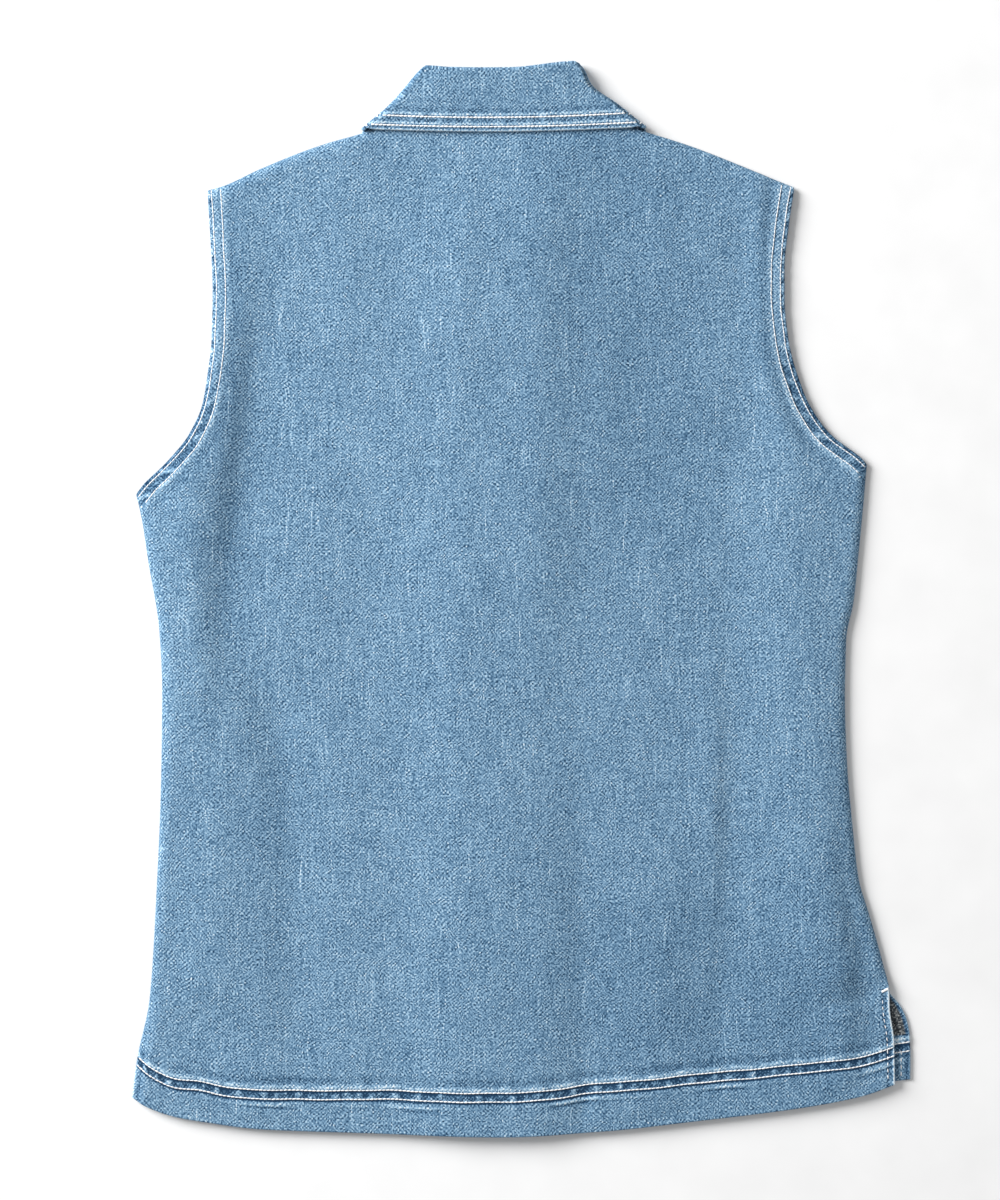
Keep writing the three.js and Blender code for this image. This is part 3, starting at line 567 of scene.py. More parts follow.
def back_seams(x, y):
    """Wear, painted shade and relief of the whole back, from its stitched edges."""
    wear_and_shade = twin_seam((y - hem_y(x) - hem_row(x)) * HEM_SLOPE, x, 1.0)
    near = (y > ARMHOLE_SPAN[0]) & (y < ARMHOLE_SPAN[1])
    for hole, seed in ((LEFT_HOLE, 3.0), (RIGHT_HOLE, 5.0)):
        distance, along = np.full(x.shape, FAR), np.zeros(x.shape)
        distance[near], along[near] = hole.measure(x[near], y[near])
        wear_and_shade = wear_and_shade + armhole_seam(distance, along, seed)
    near = y < VENTS_BELOW
    vents = ((LEFT_VENT, LEFT_VENT_STREAK, 0.9, -299), (RIGHT_VENT, VENT_ROW, 2.4, -256))
    for vent, row, rim, top in vents:
        distance = np.full(x.shape, FAR)
        distance[near], _ = vent.measure(x[near], y[near])
        worn_and_shaded = rim * bell((distance - 0.8) / 0.6) - 0.6 * bell((distance - row) / 0.8)
        worn_and_shaded = worn_and_shaded - 0.4 * bell((distance - 2.6) / 1.2) * (0.4 + 0.6 * ripple(y / 3.4, row))
        wear_and_shade = wear_and_shade + worn_and_shaded * (1 - smoothstep(y, top - 3, top + 3))
    return wear_and_shade


def cloth_wall(name, outer, inner, marks):
    """A closed wall of cloth between two lattices of points in metres. marks holds, by name, what
    each point of the two lattices carries into the shader."""
    rows, columns = outer.shape[:2]
    bm = bmesh.new()
    for key in marks:
        bm.verts.layers.float.new(key)
    bmesh.ops.create_grid(bm, x_segments=columns - 1, y_segments=rows - 1, size=0.5)
    order = sorted(bm.verts, key=lambda v: (round((v.co.y + 0.5) * (rows - 1)), v.co.x))
    for vert, co in zip(order, outer.reshape(-1, 3)):
        vert.co = co
    index = {vert: i for i, vert in enumerate(order)}
    copied = bmesh.ops.duplicate(bm, geom=bm.verts[:] + bm.edges[:] + bm.faces[:])
    back = [None] * len(order)
    for vert, twin in copied["vert_map"].items():
        if vert in index:
            back[index[vert]] = twin
    inner_faces = [item for item in copied["geom"] if isinstance(item, bmesh.types.BMFace)]
    for vert, co in zip(back, inner.reshape(-1, 3)):
        vert.co = co
    bmesh.ops.reverse_faces(bm, faces=inner_faces)
    border = [edge for edge in bm.edges if edge.is_boundary]
    bmesh.ops.bridge_loops(bm, edges=border)
    for key, (on_outer, on_inner) in marks.items():
        layer = bm.verts.layers.float[key]
        for vert, value in zip(order, np.ravel(on_outer)):
            vert[layer] = value
        for vert, value in zip(back, np.ravel(on_inner)):
            vert[layer] = value
    return finished(name, bm)


def linked(name, data):
    """A new object in the scene, at the origin."""
    made = bpy.data.objects.new(name, data)
    bpy.context.scene.collection.objects.link(made)
    return made


def mesh_of(name, bm):
    mesh = bpy.data.meshes.new(name)
    bm.to_mesh(mesh)
    bm.free()
    return mesh


def finished(name, bm):
    """The bmesh as a smooth object that rides on the vest."""
    for face in bm.faces:
        face.smooth = True
    piece = linked(name, mesh_of(name, bm))
    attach(piece, "root")
    return piece


def lattice_normals(points):
    """Unit normals of a lattice of points."""
    along = np.gradient(points, axis=1)
    across = np.gradient(points, axis=0)
    normal = np.cross(along, across)
    return normal / np.linalg.norm(normal, axis=-1, keepdims=True)


def round_drop(distance, radius):
    """How far a round edge drops, at a distance in from it."""
    t = 1 - np.clip(distance / radius, 0, 1)
    return radius * (1 - np.sqrt(1 - t * t))


def fold_edge(points, normals, distance, thickness):
    """Rounds a folded edge: the cloth turns over within half its thickness of the edge."""
    return points - normals * round_drop(distance, thickness / 2)[..., None]


def pucker_height(settings, wear_and_shade):
    return settings.pucker * 1000 * np.clip(wear_and_shade, *PUCKER_RANGE)


def cloth_thickness(up, from_side):
    """Thickness of a panel: its hem, what is turned in at armholes and vents, and single cloth."""
    turned = (up > UNDERARM) & (from_side < ARMHOLE_TURN) | (up < VENT_SHARE) & (from_side < VENT_TURN)
    return np.where(up < HEM_SHARE, HEM_CLOTH, np.where(turned, TURNED_CLOTH, CLOTH))


def spaced(steps):
    """Places of a lattice's lines, from (end, spacing) rows."""
    places = [0.0]
    for end, spacing in steps:
        count = max(1, round((end - places[-1]) / spacing))
        places += list(np.linspace(places[-1], end, count + 1)[1:])
    return np.array(places)


def node(tree, kind, inputs=None, **settings):
    """Adds a shader node with its settings, and sets or links its inputs."""
    made = tree.nodes.new(kind)
    for key, value in settings.items():
        setattr(made, key, value)
    for key, value in (inputs or {}).items():
        if isinstance(value, bpy.types.NodeSocket):
            tree.links.new(value, made.inputs[key])
        else:
            made.inputs[key].default_value = value
    return made


def ramp(tree, factor, stops):
    """A colour ramp from (place, sRGB hex) rows."""
    made = node(tree, "ShaderNodeValToRGB", {"Fac": factor})
    elements = made.color_ramp.elements
    while len(elements) < len(stops):
        elements.new(0.5)
    for element, (place_on, code) in zip(elements, stops):
        element.position = place_on
        element.color = (*to_linear(code), 1)
    return made.outputs["Color"]


def math_node(tree, operation, *values):
    return node(tree, "ShaderNodeMath", dict(enumerate(values)), operation=operation).outputs[0]


def vector_node(tree, operation, *values):
    keys = (0, "Scale") if operation == "SCALE" else (0, 1)
    return node(tree, "ShaderNodeVectorMath", dict(zip(keys, values)), operation=operation).outputs[0]


def scaled(tree, coordinates, size):
    """Coordinates that count in steps of size = (x, y, z) millimetres."""
    scale = tuple(1000 / s for s in size)
    return node(tree, "ShaderNodeMapping", {"Vector": coordinates, "Scale": scale}).outputs[0]


def noise_at(tree, coordinates, size, detail=0.0, output="Fac"):
    """Noise whose cells are size = (x, y, z) millimetres."""
    inputs = {"Vector": scaled(tree, coordinates, size), "Scale": 1.0, "Detail": detail}
    return node(tree, "ShaderNodeTexNoise", inputs).outputs[output]


def weighted(tree, terms, start):
    """start plus each (noise, weight) term, with the noise centred on 0."""
    total = start
    for value, weight in terms:
        total = math_node(tree, "MULTIPLY_ADD", value, weight, total)
        total = math_node(tree, "SUBTRACT", total, weight / 2)
    return total


def drifted(tree, coordinates, size, reach):
    """Coordinates that wander by up to about reach millimetres over size = (x, y, z)."""
    wander = noise_at(tree, coordinates, size, output="Color")
    centred = vector_node(tree, "SUBTRACT", wander, (0.5, 0.5, 0.5))
    moved = vector_node(tree, "SCALE", centred, reach / 250)
    return vector_node(tree, "ADD", coordinates, moved)


def over_edges(tree):
    """Object coordinates that on a steep face run on down it, as cloth does that turns over an edge."""
    own = node(tree, "ShaderNodeTexCoord").outputs
    sideways = vector_node(tree, "MULTIPLY", own["Normal"], (1, 1, 0))
    steep = vector_node(tree, "MULTIPLY", sideways, vector_node(tree, "ABSOLUTE", sideways))
    height = node(tree, "ShaderNodeSeparateXYZ", {"Vector": own["Object"]}).outputs["Z"]
    height = math_node(tree, "SUBTRACT", height, LAID_MIDDLE / 1000)
    return vector_node(tree, "SUBTRACT", own["Object"], vector_node(tree, "SCALE", steep, height))


def weave(tree, coordinates, thread):
    """How each crossing of threads differs in tone from those beside it, and a wave along each of
    the two slants."""
    threads = scaled(tree, coordinates, (thread, thread, thread))
    crossing = vector_node(tree, "FLOOR", threads)
    uneven = (sum(share for _, share in BESIDE) - 1) / 2
    for step, share in (((0, 0, 0), -1.0), *BESIDE):
        at = vector_node(tree, "ADD", crossing, step)
        tone = node(tree, "ShaderNodeTexWhiteNoise", {"Vector": at}, noise_dimensions="2D").outputs["Value"]
        uneven = math_node(tree, "MULTIPLY_ADD", tone, -share, uneven)
    parts = node(tree, "ShaderNodeSeparateXYZ", {"Vector": threads}).outputs
    waves = []
    for operation in ("SUBTRACT", "ADD"):
        slant = math_node(tree, operation, parts["X"], parts["Y"])
        waves.append(math_node(tree, "SINE", math_node(tree, "MULTIPLY", slant, math.tau / TWILL_THREADS)))
    return uneven, *waves


def new_material(name, roughness):
    """A material, its node tree and the inputs of its shader."""
    material = bpy.data.materials.new(name)
    material.use_nodes = True
    tree = material.node_tree
    inputs = tree.nodes["Principled BSDF"].inputs
    inputs["Roughness"].default_value = roughness
    return material, tree, inputs


def own_coordinates(tree):
    return node(tree, "ShaderNodeTexCoord").outputs["Object"]


def denim_material(settings):
    """Washed cotton denim, a right-hand twill of indigo warp over white weft. Indigo sits on the
    warp's surface and washes off its high points, so the eye sees pale and blue flecks on the
    slant, pale slubs along the warp, and ridges at the seams worn almost white."""
    material, tree, inputs = new_material("washed_denim_twill", 0.94)
    inputs["Specular IOR Level"].default_value = 0.1
    coordinates = drifted(tree, over_edges(tree), (11.0, 14.0, 12.0), 0.9)
    crossing, twill, cross_twill = weave(tree, coordinates, settings.thread * 1000)
    slub = noise_at(tree, coordinates, (0.62, 22.0, 3.0), 1.0)
    long_slub = noise_at(tree, coordinates, (0.7, 40.0, 3.0))
    weft = noise_at(tree, coordinates, (11.0, 0.8, 3.0), 1.0)
    cloud = noise_at(tree, coordinates, (24.0, 30.0, 20.0), 2.0)
    patch = noise_at(tree, coordinates, (7.0, 9.0, 5.0))
    # The wear_and_shade attribute carries the worn ridges and hollows at the seams, and also painted shade:
    # dark lines beside the stitched rows, the collar's tips and patches on the back.
    wear_and_shade, wrong = (
        node(tree, "ShaderNodeAttribute", attribute_name=name).outputs["Fac"]
        for name in ("wear_and_shade", "wrong_side")
    )
    # In patches the slant to the right shows more, and between them the one to the left.
    right, left = TWILL_TONES
    grain = math_node(tree, "MULTIPLY_ADD", crossing, CROSSING_TONE, 0.5)
    grain = math_node(tree, "MULTIPLY_ADD", twill, math_node(tree, "MULTIPLY", patch, right), grain)
    to_left = math_node(tree, "MULTIPLY_ADD", patch, -left, left)
    grain = math_node(tree, "MULTIPLY_ADD", cross_twill, to_left, grain)
    tone = weighted(tree, [(slub, 0.46), (weft, 0.42), (cloud, 0.15)], grain)
    bright = math_node(tree, "MAXIMUM", math_node(tree, "SUBTRACT", long_slub, 0.7), 0.0)
    tone = math_node(tree, "MULTIPLY_ADD", bright, 2.2, tone)
    # Worn ridges turn paler and painted shade darker, by the fading setting.
    worn_and_shaded = math_node(tree, "MULTIPLY_ADD", wear_and_shade, settings.fade, tone)
    blues = (settings.deep, "#4a6e8d", settings.mid, "#8bafcb", "#b6d5e9", settings.pale)
    blue = ramp(tree, math_node(tree, "MULTIPLY", worn_and_shaded, 0.8), [(i / 5, code) for i, code in enumerate(blues)])
    # The cloth's wrong side, grey with dark and pale flecks: its tones are painted darker than the cloth is,
    # as the shade it lies in within the open vent.
    grey_tone = weighted(tree, [(weft, 0.6)], math_node(tree, "MULTIPLY_ADD", crossing, 0.7, 0.42))
    grey = ramp(tree, grey_tone, [(0.0, "#14181d"), (0.5, "#565d63"), (1.0, "#d8d9d5")])
    mixed = {0: wrong, 6: blue, 7: grey}
    colour = node(tree, "ShaderNodeMix", mixed, data_type="RGBA", clamp_factor=True).outputs[2]
    tree.links.new(colour, inputs["Base Color"])
    bump = node(tree, "ShaderNodeBump", {"Height": grain, "Strength": 0.25, "Distance": 0.0003})
    tree.links.new(bump.outputs[0], inputs["Normal"])
    return material


def thread_material(settings):
    """Undyed cotton-wrapped sewing thread, off-white and matt, with the ply's slight twist."""
    material, tree, inputs = new_material("offwhite_cotton_thread", 0.8)
    coordinates = own_coordinates(tree)
    ply = noise_at(tree, coordinates, (0.35, 0.35, 0.35), 1.0)
    dirt = noise_at(tree, coordinates, (9.0, 9.0, 9.0), 1.0)
    tone = weighted(tree, [(ply, 0.8), (dirt, 0.7)], 0.5)
    colour = ramp(tree, tone, [(0.0, "#dfe1e2"), (0.5, settings.sewing), (1.0, "#ffffff")])
    tree.links.new(colour, inputs["Base Color"])
    return material


def button_material(_settings):
    """Tumbled, nickel-plated brass of a tack button: a dull metal with fine random scratches."""
    material, tree, inputs = new_material("tumbled_nickel_plate", 0.4)
    coordinates = own_coordinates(tree)
    inputs["Metallic"].default_value = 1.0
    turn = (0, 0, math.radians(25))
    turned = node(tree, "ShaderNodeMapping", {"Vector": coordinates, "Rotation": turn}).outputs[0]
    scratch = noise_at(tree, turned, (0.3, 2.5, 1.0), 2.0)
    tarnish = noise_at(tree, coordinates, (3.0, 3.0, 3.0), 2.0)
    colour = ramp(tree, tarnish, [(0.3, "#6f6a61"), (0.7, "#b5afa4")])
    rough = node(tree, "ShaderNodeMapRange", {"Value": scratch, "To Min": 0.28, "To Max": 0.5}).outputs[0]
    tree.links.new(colour, inputs["Base Color"])
    tree.links.new(rough, inputs["Roughness"])
    return material


def floor_material(settings):
    """Matt white studio board."""
    material, tree, inputs = new_material("matt_white_board", 0.9)
    coordinates = own_coordinates(tree)
    fibre = noise_at(tree, coordinates, (40.0, 40.0, 40.0), 2.0)
    colour = ramp(tree, fibre, [(0.2, settings.floor), (0.8, "#fbfbfb")])
    tree.links.new(colour, inputs["Base Color"])
    return material


MAKERS = {
    "denim": denim_material,
    "thread": thread_material,
    "button": button_material,
    "floor": floor_material,
}
MADE = {}


def material_of(kind, settings):
    if kind not in MADE:
        MADE[kind] = MAKERS[kind](settings)
    return MADE[kind]


def dress(piece, kind, settings, nodes=()):
    """Gives a piece its material and slot, and hides the nodes that it stands for."""
    piece.data.materials.append(material_of(kind, settings))
    if nodes:
        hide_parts(*nodes)
    return piece


# The lattices of the back and the fronts: width, height, and (end, spacing) rows that set their
# lines close together beside the stitched edges.
BACK_WIDTH = 460
BACK_HEIGHT = SIDE_LENGTH / UNDERARM
BACK_SIDE_LINES = [(0.6, 0.3), (10.2, 0.8), (18, 1.3), (26, 2.0)]
BACK_TOP_LINES = [(0.9, 0.3), (7, 1.0), (14, 2.0)]
BACK_LINES = [(0.9, 0.3), (16, 1.2), (40, 0.8), (50, 1.6), (60, 2.5), (392, 4.3), (418, 1.8), (575, 2.9)]
BACK_COLUMNS = 158
FRONT_WIDTH = 240
FRONT_COLUMNS = [(0.9, 0.3), (44, 1.8), (204, 4.0), (226, 1.6), (239.1, 1.0), (FRONT_WIDTH, 0.3)]
FRONT_LINES = [
    (0.9, 0.3), (22, 2.0), (36, 1.0), (64, 2.0), (398, 5.0), (570, 3.4), (586.9, 1.6), (587.8, 0.3),
]


def back_lattice():
    """Shares across and up of the back's lattice."""
    side = spaced(BACK_SIDE_LINES) / BACK_WIDTH
    middle = np.linspace(side[-1], 1 - side[-1], BACK_COLUMNS)
    across = np.concatenate([side, middle[1:-1], 1 - side[::-1]])
    up = spaced(BACK_LINES) / BACK_HEIGHT
    top = 1 - spaced(BACK_TOP_LINES)[::-1] / BACK_HEIGHT
    return np.meshgrid(across, np.concatenate([up[up < top[0] - 0.002], top]))


def make_back(settings):
    across, up = back_lattice()
    x, y, z = back_form(across, up)
    _, _, from_left, from_right = back_plan(across, up)
    from_side, from_hem = np.minimum(from_left, from_right), y - hem_y(x)
    own = step_heights(x, y, STEPS) + fold_heights(x, y, CREASES)
    held = np.minimum(from_side, from_hem * HEM_HOLDS)
    held = np.where(up > UNDERARM + SEAM_TURN, held + ARMHOLE_FREE, held)
    own = np.maximum(own, np.minimum(BACK_LOWEST - z, 0)) * smoothstep(held, *STEP_EDGE)
    z = z + own * (1 - COLLAR_HOLDS * smoothstep(y, *UNDER_COLLAR))
    wear_and_shade = back_seams(x, y)
    smooth = np.stack([x, y, z], axis=-1)
    normals = lattice_normals(smooth)
    surface = smooth.copy()
    surface[..., 2] += pucker_height(settings, wear_and_shade)
    # Painted light and shade, with the wash's uneven dye: the patches change only the colour, not the height.
    for at_x, at_y, half_width, half_height, tone in WASH_AND_SHADE:
        wear_and_shade = wear_and_shade + tone * bell((x - at_x) / half_width) * bell((y - at_y) / half_height)
    thickness = cloth_thickness(up, from_side)
    from_edge = np.minimum(from_side, from_hem)
    outer = fold_edge(surface, normals, from_edge, EDGE_TURN)
    inner = fold_edge(smooth, normals, from_edge, EDGE_TURN) - normals * thickness[..., None]
    inner[..., 2] = np.maximum(inner[..., 2], FLOOR_GAP)
    marks = {"wear_and_shade": (wear_and_shade, 0.2 * wear_and_shade), "wrong_side": (0 * x, 1.0 * (thickness == CLOTH))}
    piece = cloth_wall("back_cloth", place(outer), place(inner), marks)
    return dress(piece, "denim", settings, ["back_panel"])


def front_armhole(rows, inward):
    low, high = rows[0][1], rows[-1][1]
    shaped = []
    for x, y in rows:
        share = (y - low) / (high - low)
        scoop = FRONT_SCOOP * math.sin(math.pi * share**0.6) ** 2
        shaped.append((x + inward * (scoop + FRONT_INSET), y - FRONT_INSET))
    return shaped


def left_front_side():
    shaped = []
    for x, y in LEFT_SIDE:
        by_vent = 1 - float(smoothstep(y, -275, -250))
        shaped.append((x + FRONT_INSET + LEFT_VENT_INSET * by_vent, y - math.copysign(FRONT_INSET, y)))
    return shaped


def front_hem_y(x):
    corner = np.maximum(x - VENT_CORNER_X, 0) * VENT_CORNER_RISE
    return hem_y(np.minimum(x, HEM_CURVE[-1][0])) + FRONT_INSET + corner


def front_edges(mirror, side, armhole):
    """The edges of a front, mirrored so that its centre front edge is on its left."""
    outer_edge = side_edge(*([(mirror * x, y) for x, y in rows] for rows in (side, armhole)))

    def top(x):
        neck = np.where(x < NECK_HALF, front_neck_y(x), np.inf)
        return np.minimum(neck, back_top_y(mirror * x) - FRONT_INSET)

    def hem(x):
        return front_hem_y(mirror * x)

    def centre_edge(up):
        return np.full(np.shape(up), -float(OVERLAP)), lerp(hem(-OVERLAP), top(-OVERLAP), up)

    return outer_edge, plan_of(centre_edge, outer_edge, hem, top)


def make_front(settings, name, mirror, side, armhole, under):
    outer_edge, plan = front_edges(mirror, side, armhole)
    columns, lines = spaced(FRONT_COLUMNS), spaced(FRONT_LINES)
    across, up = np.meshgrid(columns / columns[-1], lines / lines[-1])
    x, y, from_centre, from_side = plan(across, up)
    from_hem = y - front_hem_y(mirror * x)
    hole = EdgeLine(edge_points(outer_edge, UNDERARM + 1e-6, 1, 60))
    hole_distance, hole_along = hole.measure(x, y)
    lift = fold_heights(x, y, FRONT_FOLDS[mirror])
    z = under(mirror * x, y) + lift * smoothstep(np.minimum(from_side, from_hem - HEM_DEPTH), *FOLD_FADE)
    s = (from_hem - hem_row(mirror * x) + FRONT_INSET) * HEM_SLOPE
    seams = twin_seam(s, mirror * x, 7.0) + armhole_seam(hole_distance, hole_along, 8.0)
    for row in PLACKET_ROWS:
        seams = seams - 0.5 * bell((from_centre - row) / 0.6) + 0.5 * bell((from_centre - row - 1.8) / 1.0)
    rows = [s, s + TWIN]
    rows += [hole_distance - row for row in ARMHOLE_ROWS]
    rows += [from_centre - row for row in PLACKET_ROWS]
    groove = UNDER_GROOVE * np.maximum.reduce([bell(distance / 0.9) for distance in rows])
    vent_edge = np.where(up < VENT_SHARE, from_side, FAR)
    seams = seams + 0.6 * bell(vent_edge / 0.7) - 0.8 * bell((vent_edge - 2.4) / 1.3)
    seams = seams + 1.3 * bell((s - 3.4) / 1.0) * (vent_edge < 20)
    thickness = cloth_thickness(up, from_side)
    band = from_centre <= 2 * OVERLAP
    thickness = np.where((thickness == CLOTH) & band, PLACKET_CLOTH, thickness)
    relief = pucker_height(settings, seams)
    edge = 0.8 * round_drop(np.minimum(np.minimum(from_centre, from_side), from_hem), 0.5 * thickness)
    low_z = np.maximum(z + 0.12 - 0.3 * np.minimum(relief, 0.2) + groove, z) + edge
    risen = 0.7 * np.where(up < VENT_SHARE, relief, np.minimum(relief, 0))
    low = np.stack([mirror * x, y, low_z], axis=-1)
    high = np.stack([mirror * x, y, z + thickness + risen - edge], axis=-1)
    strip = (up < VENT_SHARE * 1.02) & (from_side < FRONT_VENT_STRIP)
    strip = strip | (up > UNDERARM) & (from_side < ARMHOLE_TURN)
    wrong = 1.0 * ~(strip | (up < HEM_SHARE) | band)
    marks = {"wear_and_shade": (seams, seams), "wrong_side": (wrong, 0 * x)}
    piece = cloth_wall(name + "_cloth", place(high), place(low), marks)
    if mirror < 0:
        piece.data.flip_normals()
    return dress(piece, "denim", settings, [name])


# Each front: name, which way x runs, its side, its armhole and the height of what it lies on.
FRONTS = (
    ("front_right", 1, RIGHT_FRONT_SIDE, front_armhole(RIGHT_ARMHOLE, -1), right_front_under),
    ("front_left", -1, left_front_side(), front_armhole(LEFT_ARMHOLE, 1), left_front_under),
)

# The collar: where its fold, its leaf's edge and its neck seam turn over at each side, in plan.
COLLAR_SIDE = {
    -1: {"fold": (-54.0, 350.4), "leaf": (-92.6, 310.6), "neck": (-71.0, 316.6)},
    1: {"fold": (51.0, 351.2), "leaf": (93.8, 312.0), "neck": (71.0, 317.6)},
}
# At the centre back: how far the fold dips, and where the leaf's edge and the neck seam are.
FOLD_DIP = 1.6
LEAF_MIDDLE = 308.8
NECK_MIDDLE = 320.1
# The front wing: share of the way to the centre front, then x and y of fold, leaf and neck.
WING = [
    (0, 52, 350, 93, 311, 71, 317.6),
    (0.35, 44, 316, 86, 274, 59.2, 295.4),
    (0.7, 24, 277, 72, 233, 34.8, 262.9),
    (1, 2.6, 256, 58, 205, 3.2, 241.2),
]
WING_CURVES = {
    key: (smooth_through(WING, 0, column), smooth_through(WING, 0, column + 1))
    for key, column in (("fold", 1), ("leaf", 3), ("neck", 5))
}
# Heights of the middle of the collar's cloth, and the room left in its fold and under its leaf.
HALF = COLLAR_CLOTH / 2
STAND_FRONT_Z = HALF + COLLAR_CLOTH + SEAM_GAP
LEAF_SIDE_Z = HALF + 6.6
STAND_TURN = 2.3
STAND_SIDE_Z = STAND_FRONT_Z + STAND_TURN
FOLD_ROOM = 0.6
LEAF_EASE = 0.75
# How many points a ring of the collar has along each wing, turn and the back.
WING_POINTS = 30
TURN_POINTS = 13
BACK_POINTS = 80


def between(a, b, t):
    return (lerp(a[0], b[0], t), lerp(a[1], b[1], t))


def edge_name(down):
    return "leaf" if down >= 0 else "neck"


def collar_side(side, down):
    """Plan point at the side. down is 0 at the fold, 1 at the leaf's edge, -1 at the neck seam."""
    return between(COLLAR_SIDE[side]["fold"], COLLAR_SIDE[side][edge_name(down)], abs(down))


def table_point(share, down):
    """Plan point of the wing that the table gives."""
    fold, edge = ([float(curve(share)) for curve in WING_CURVES[key]] for key in ("fold", edge_name(down)))
    return between(fold, edge, abs(down))


def wing_point(side, share, down):
    """Plan point of a wing, which at its start follows its own side."""
    x, y = table_point(share, down)
    own, table = collar_side(side, down), table_point(0.0, down)
    near = 1 - float(smoothstep(share, 0, 0.5))
    return side * x + (own[0] - side * table[0]) * near, y + (own[1] - table[1]) * near


def front_height(x, y, down, leaf):
    if leaf:
        return HALF
    under = float(left_front_under(x, y) if x < 0 else right_front_under(x, y))
    return lerp(STAND_FRONT_Z, max(under, WING_LIFT) + CLOTH / 2, down * down)


def back_height(x, down, leaf):
    over = float(back_crown(x, NECK_MIDDLE, 1.0))
    stand_fold = over + CLOTH / 2
    if not leaf:
        return lerp(stand_fold, over - CLOTH / 2, -down)
    return lerp(stand_fold + COLLAR_CLOTH + FOLD_ROOM, over + HALF + LEAF_EASE, down)


def collar_turn(side, angle, down, leaf):
    """A point where the collar turns over at the side, from its wing at 0 to its back at pi."""
    own = COLLAR_SIDE[side]
    edge = own["leaf" if leaf else "neck"]
    along = Vector((edge[0] - own["fold"][0], edge[1] - own["fold"][1])).normalized()
    out = Vector((-along.y, along.x)) * side
    x, y = collar_side(side, down)
    low = front_height(x, y, down, leaf)
    high = LEAF_SIDE_Z if leaf else lerp(STAND_SIDE_Z, low + STAND_TURN, abs(down))
    radius = (high - low) / 2
    reach = radius * (math.sin(angle) - 1) - HALF
    return (x + out.x * reach, y + out.y * reach, (low + high) / 2 - radius * math.cos(angle))


def collar_back(start, end, down, leaf):
    """Points of the collar's back between its two turns, whose ends are at start and end."""
    left, right = collar_side(-1, down), collar_side(1, down)
    fold_middle = (COLLAR_SIDE[-1]["fold"][1] + COLLAR_SIDE[1]["fold"][1]) / 2 - FOLD_DIP
    middle = lerp(fold_middle, LEAF_MIDDLE if down >= 0 else NECK_MIDDLE, abs(down))
    points = []
    for share in np.linspace(0, 1, BACK_POINTS + 2)[1:-1]:
        x = lerp(left[0], right[0], share)
        bow = 4 * share * (1 - share) * (middle - (left[1] + right[1]) / 2)
        inward = float(smoothstep(min(share, 1 - share), 0, 0.22))
        z = lerp(lerp(start[2], end[2], share), back_height(x, down, leaf), inward)
        points.append((x, lerp(left[1], right[1], share) + bow, z))
    return points


def collar_ring(down, leaf):
    """Points of the cloth's middle, from the left front end round the back to the right one."""

    def wing(side, share):
        x, y = wing_point(side, share, down)
        return (x, y, front_height(x, y, down, leaf))

    shares, angles = np.linspace(0, 1, WING_POINTS + 1)[1:], np.linspace(0, math.pi, TURN_POINTS)
    left = [wing(-1, share) for share in np.linspace(1, 0, WING_POINTS + 1)[:-1]]
    left += [collar_turn(-1, angle, down, leaf) for angle in angles]
    right = [collar_turn(1, angle, down, leaf) for angle in angles[::-1]]
    right += [wing(1, share) for share in shares]
    back = collar_back(left[-1], right[0], down, leaf)
    return collar_shaped(np.array(left + back + right))


# The folded collar's top corners at each side: the corner, then the ways along the fold and down
# the side. The fold rises to the right, and the right side is drawn in.
CORNERS = [
    ((-54.0, 352.6), (1.0, 0.0), (-0.678, -0.735)),
    ((49.5, 355.9), (-0.998, -0.06), (0.71, -0.704)),
]
CORNER_LENGTH = 3.9
# Where the fold rises: how much, and from and to which x. It does so over FOLD_SPAN of y.
FOLD_SPAN = (318, 350)
RIGHT_RISE = (2.9, 4, 46)
LEFT_RISE = (0.8, -34, -50)
# How a side is drawn in: how far, and the middle and half height of that. LEFT_FREE fades it out.
RIGHT_DRAWN = (-6.6, 336.5, 8.3)
LEFT_DRAWN = (1.7, 330, 13)
LEFT_FREE = (313, 324)
# The leaf's tips reach out a little, and their ends are lifted to the leaf's edge.
TIP_FLARE = (1.5, 309.5, 8)
TIP_DEPTH = 3.1
TIP_RISE = 2.0


def swell(value, amount, middle, half):
    return amount * bell((value - middle) / half)


def ramped(value, amount, low, high):
    return amount * smoothstep(value, low, high)


def collar_shaped(points):
    """The collar's points with its uneven fold, drawn-in side and rounded corners."""
    points = points.copy()
    x, y = points[:, 0], points[:, 1]
    rise = (ramped(x, *RIGHT_RISE) + ramped(x, *LEFT_RISE)) * smoothstep(y, *FOLD_SPAN)
    x = x + swell(y, *RIGHT_DRAWN) * smoothstep(x, 28, 56)
    x = x + swell(y, *LEFT_DRAWN) * (1 - smoothstep(x, -66, -48)) * smoothstep(y, *LEFT_FREE)
    x = x + swell(y, *TIP_FLARE) * np.sign(x) * smoothstep(np.abs(x), 62, 90)
    leaf_low = np.where(x < 0, COLLAR_SIDE[-1]["leaf"][1], COLLAR_SIDE[1]["leaf"][1]) - TIP_DEPTH
    y = y + rise + swell(y, TIP_RISE, leaf_low, 2.5) * smoothstep(np.abs(x), 84, 89)
    for corner, along_fold, down_side in CORNERS:
        basis = np.array([along_fold, down_side]).T
        local = np.linalg.inv(basis) @ np.stack([x - corner[0], y - corner[1]])
        from_centre = 1 - local / CORNER_LENGTH
        within = (from_centre > 0).all(axis=0)
        square, round_to = from_centre.max(axis=0), np.hypot(*from_centre)
        share = np.where(within, square / np.maximum(round_to, 1e-6), 1)
        moved = basis @ ((1 - from_centre * share) * CORNER_LENGTH)
        x, y = moved[0] + corner[0], moved[1] + corner[1]
    points[:, 0], points[:, 1] = x, y
    return points


LEAF_DEPTH = 40.0
LEAF_LINES = [(0.9, 0.3), (13, 0.75), (20, 1.4), (LEAF_DEPTH, 2.5)]
# The rows on the wings, whose stitched face is on the floor, lie in a groove.
WING_GROOVE = 0.62


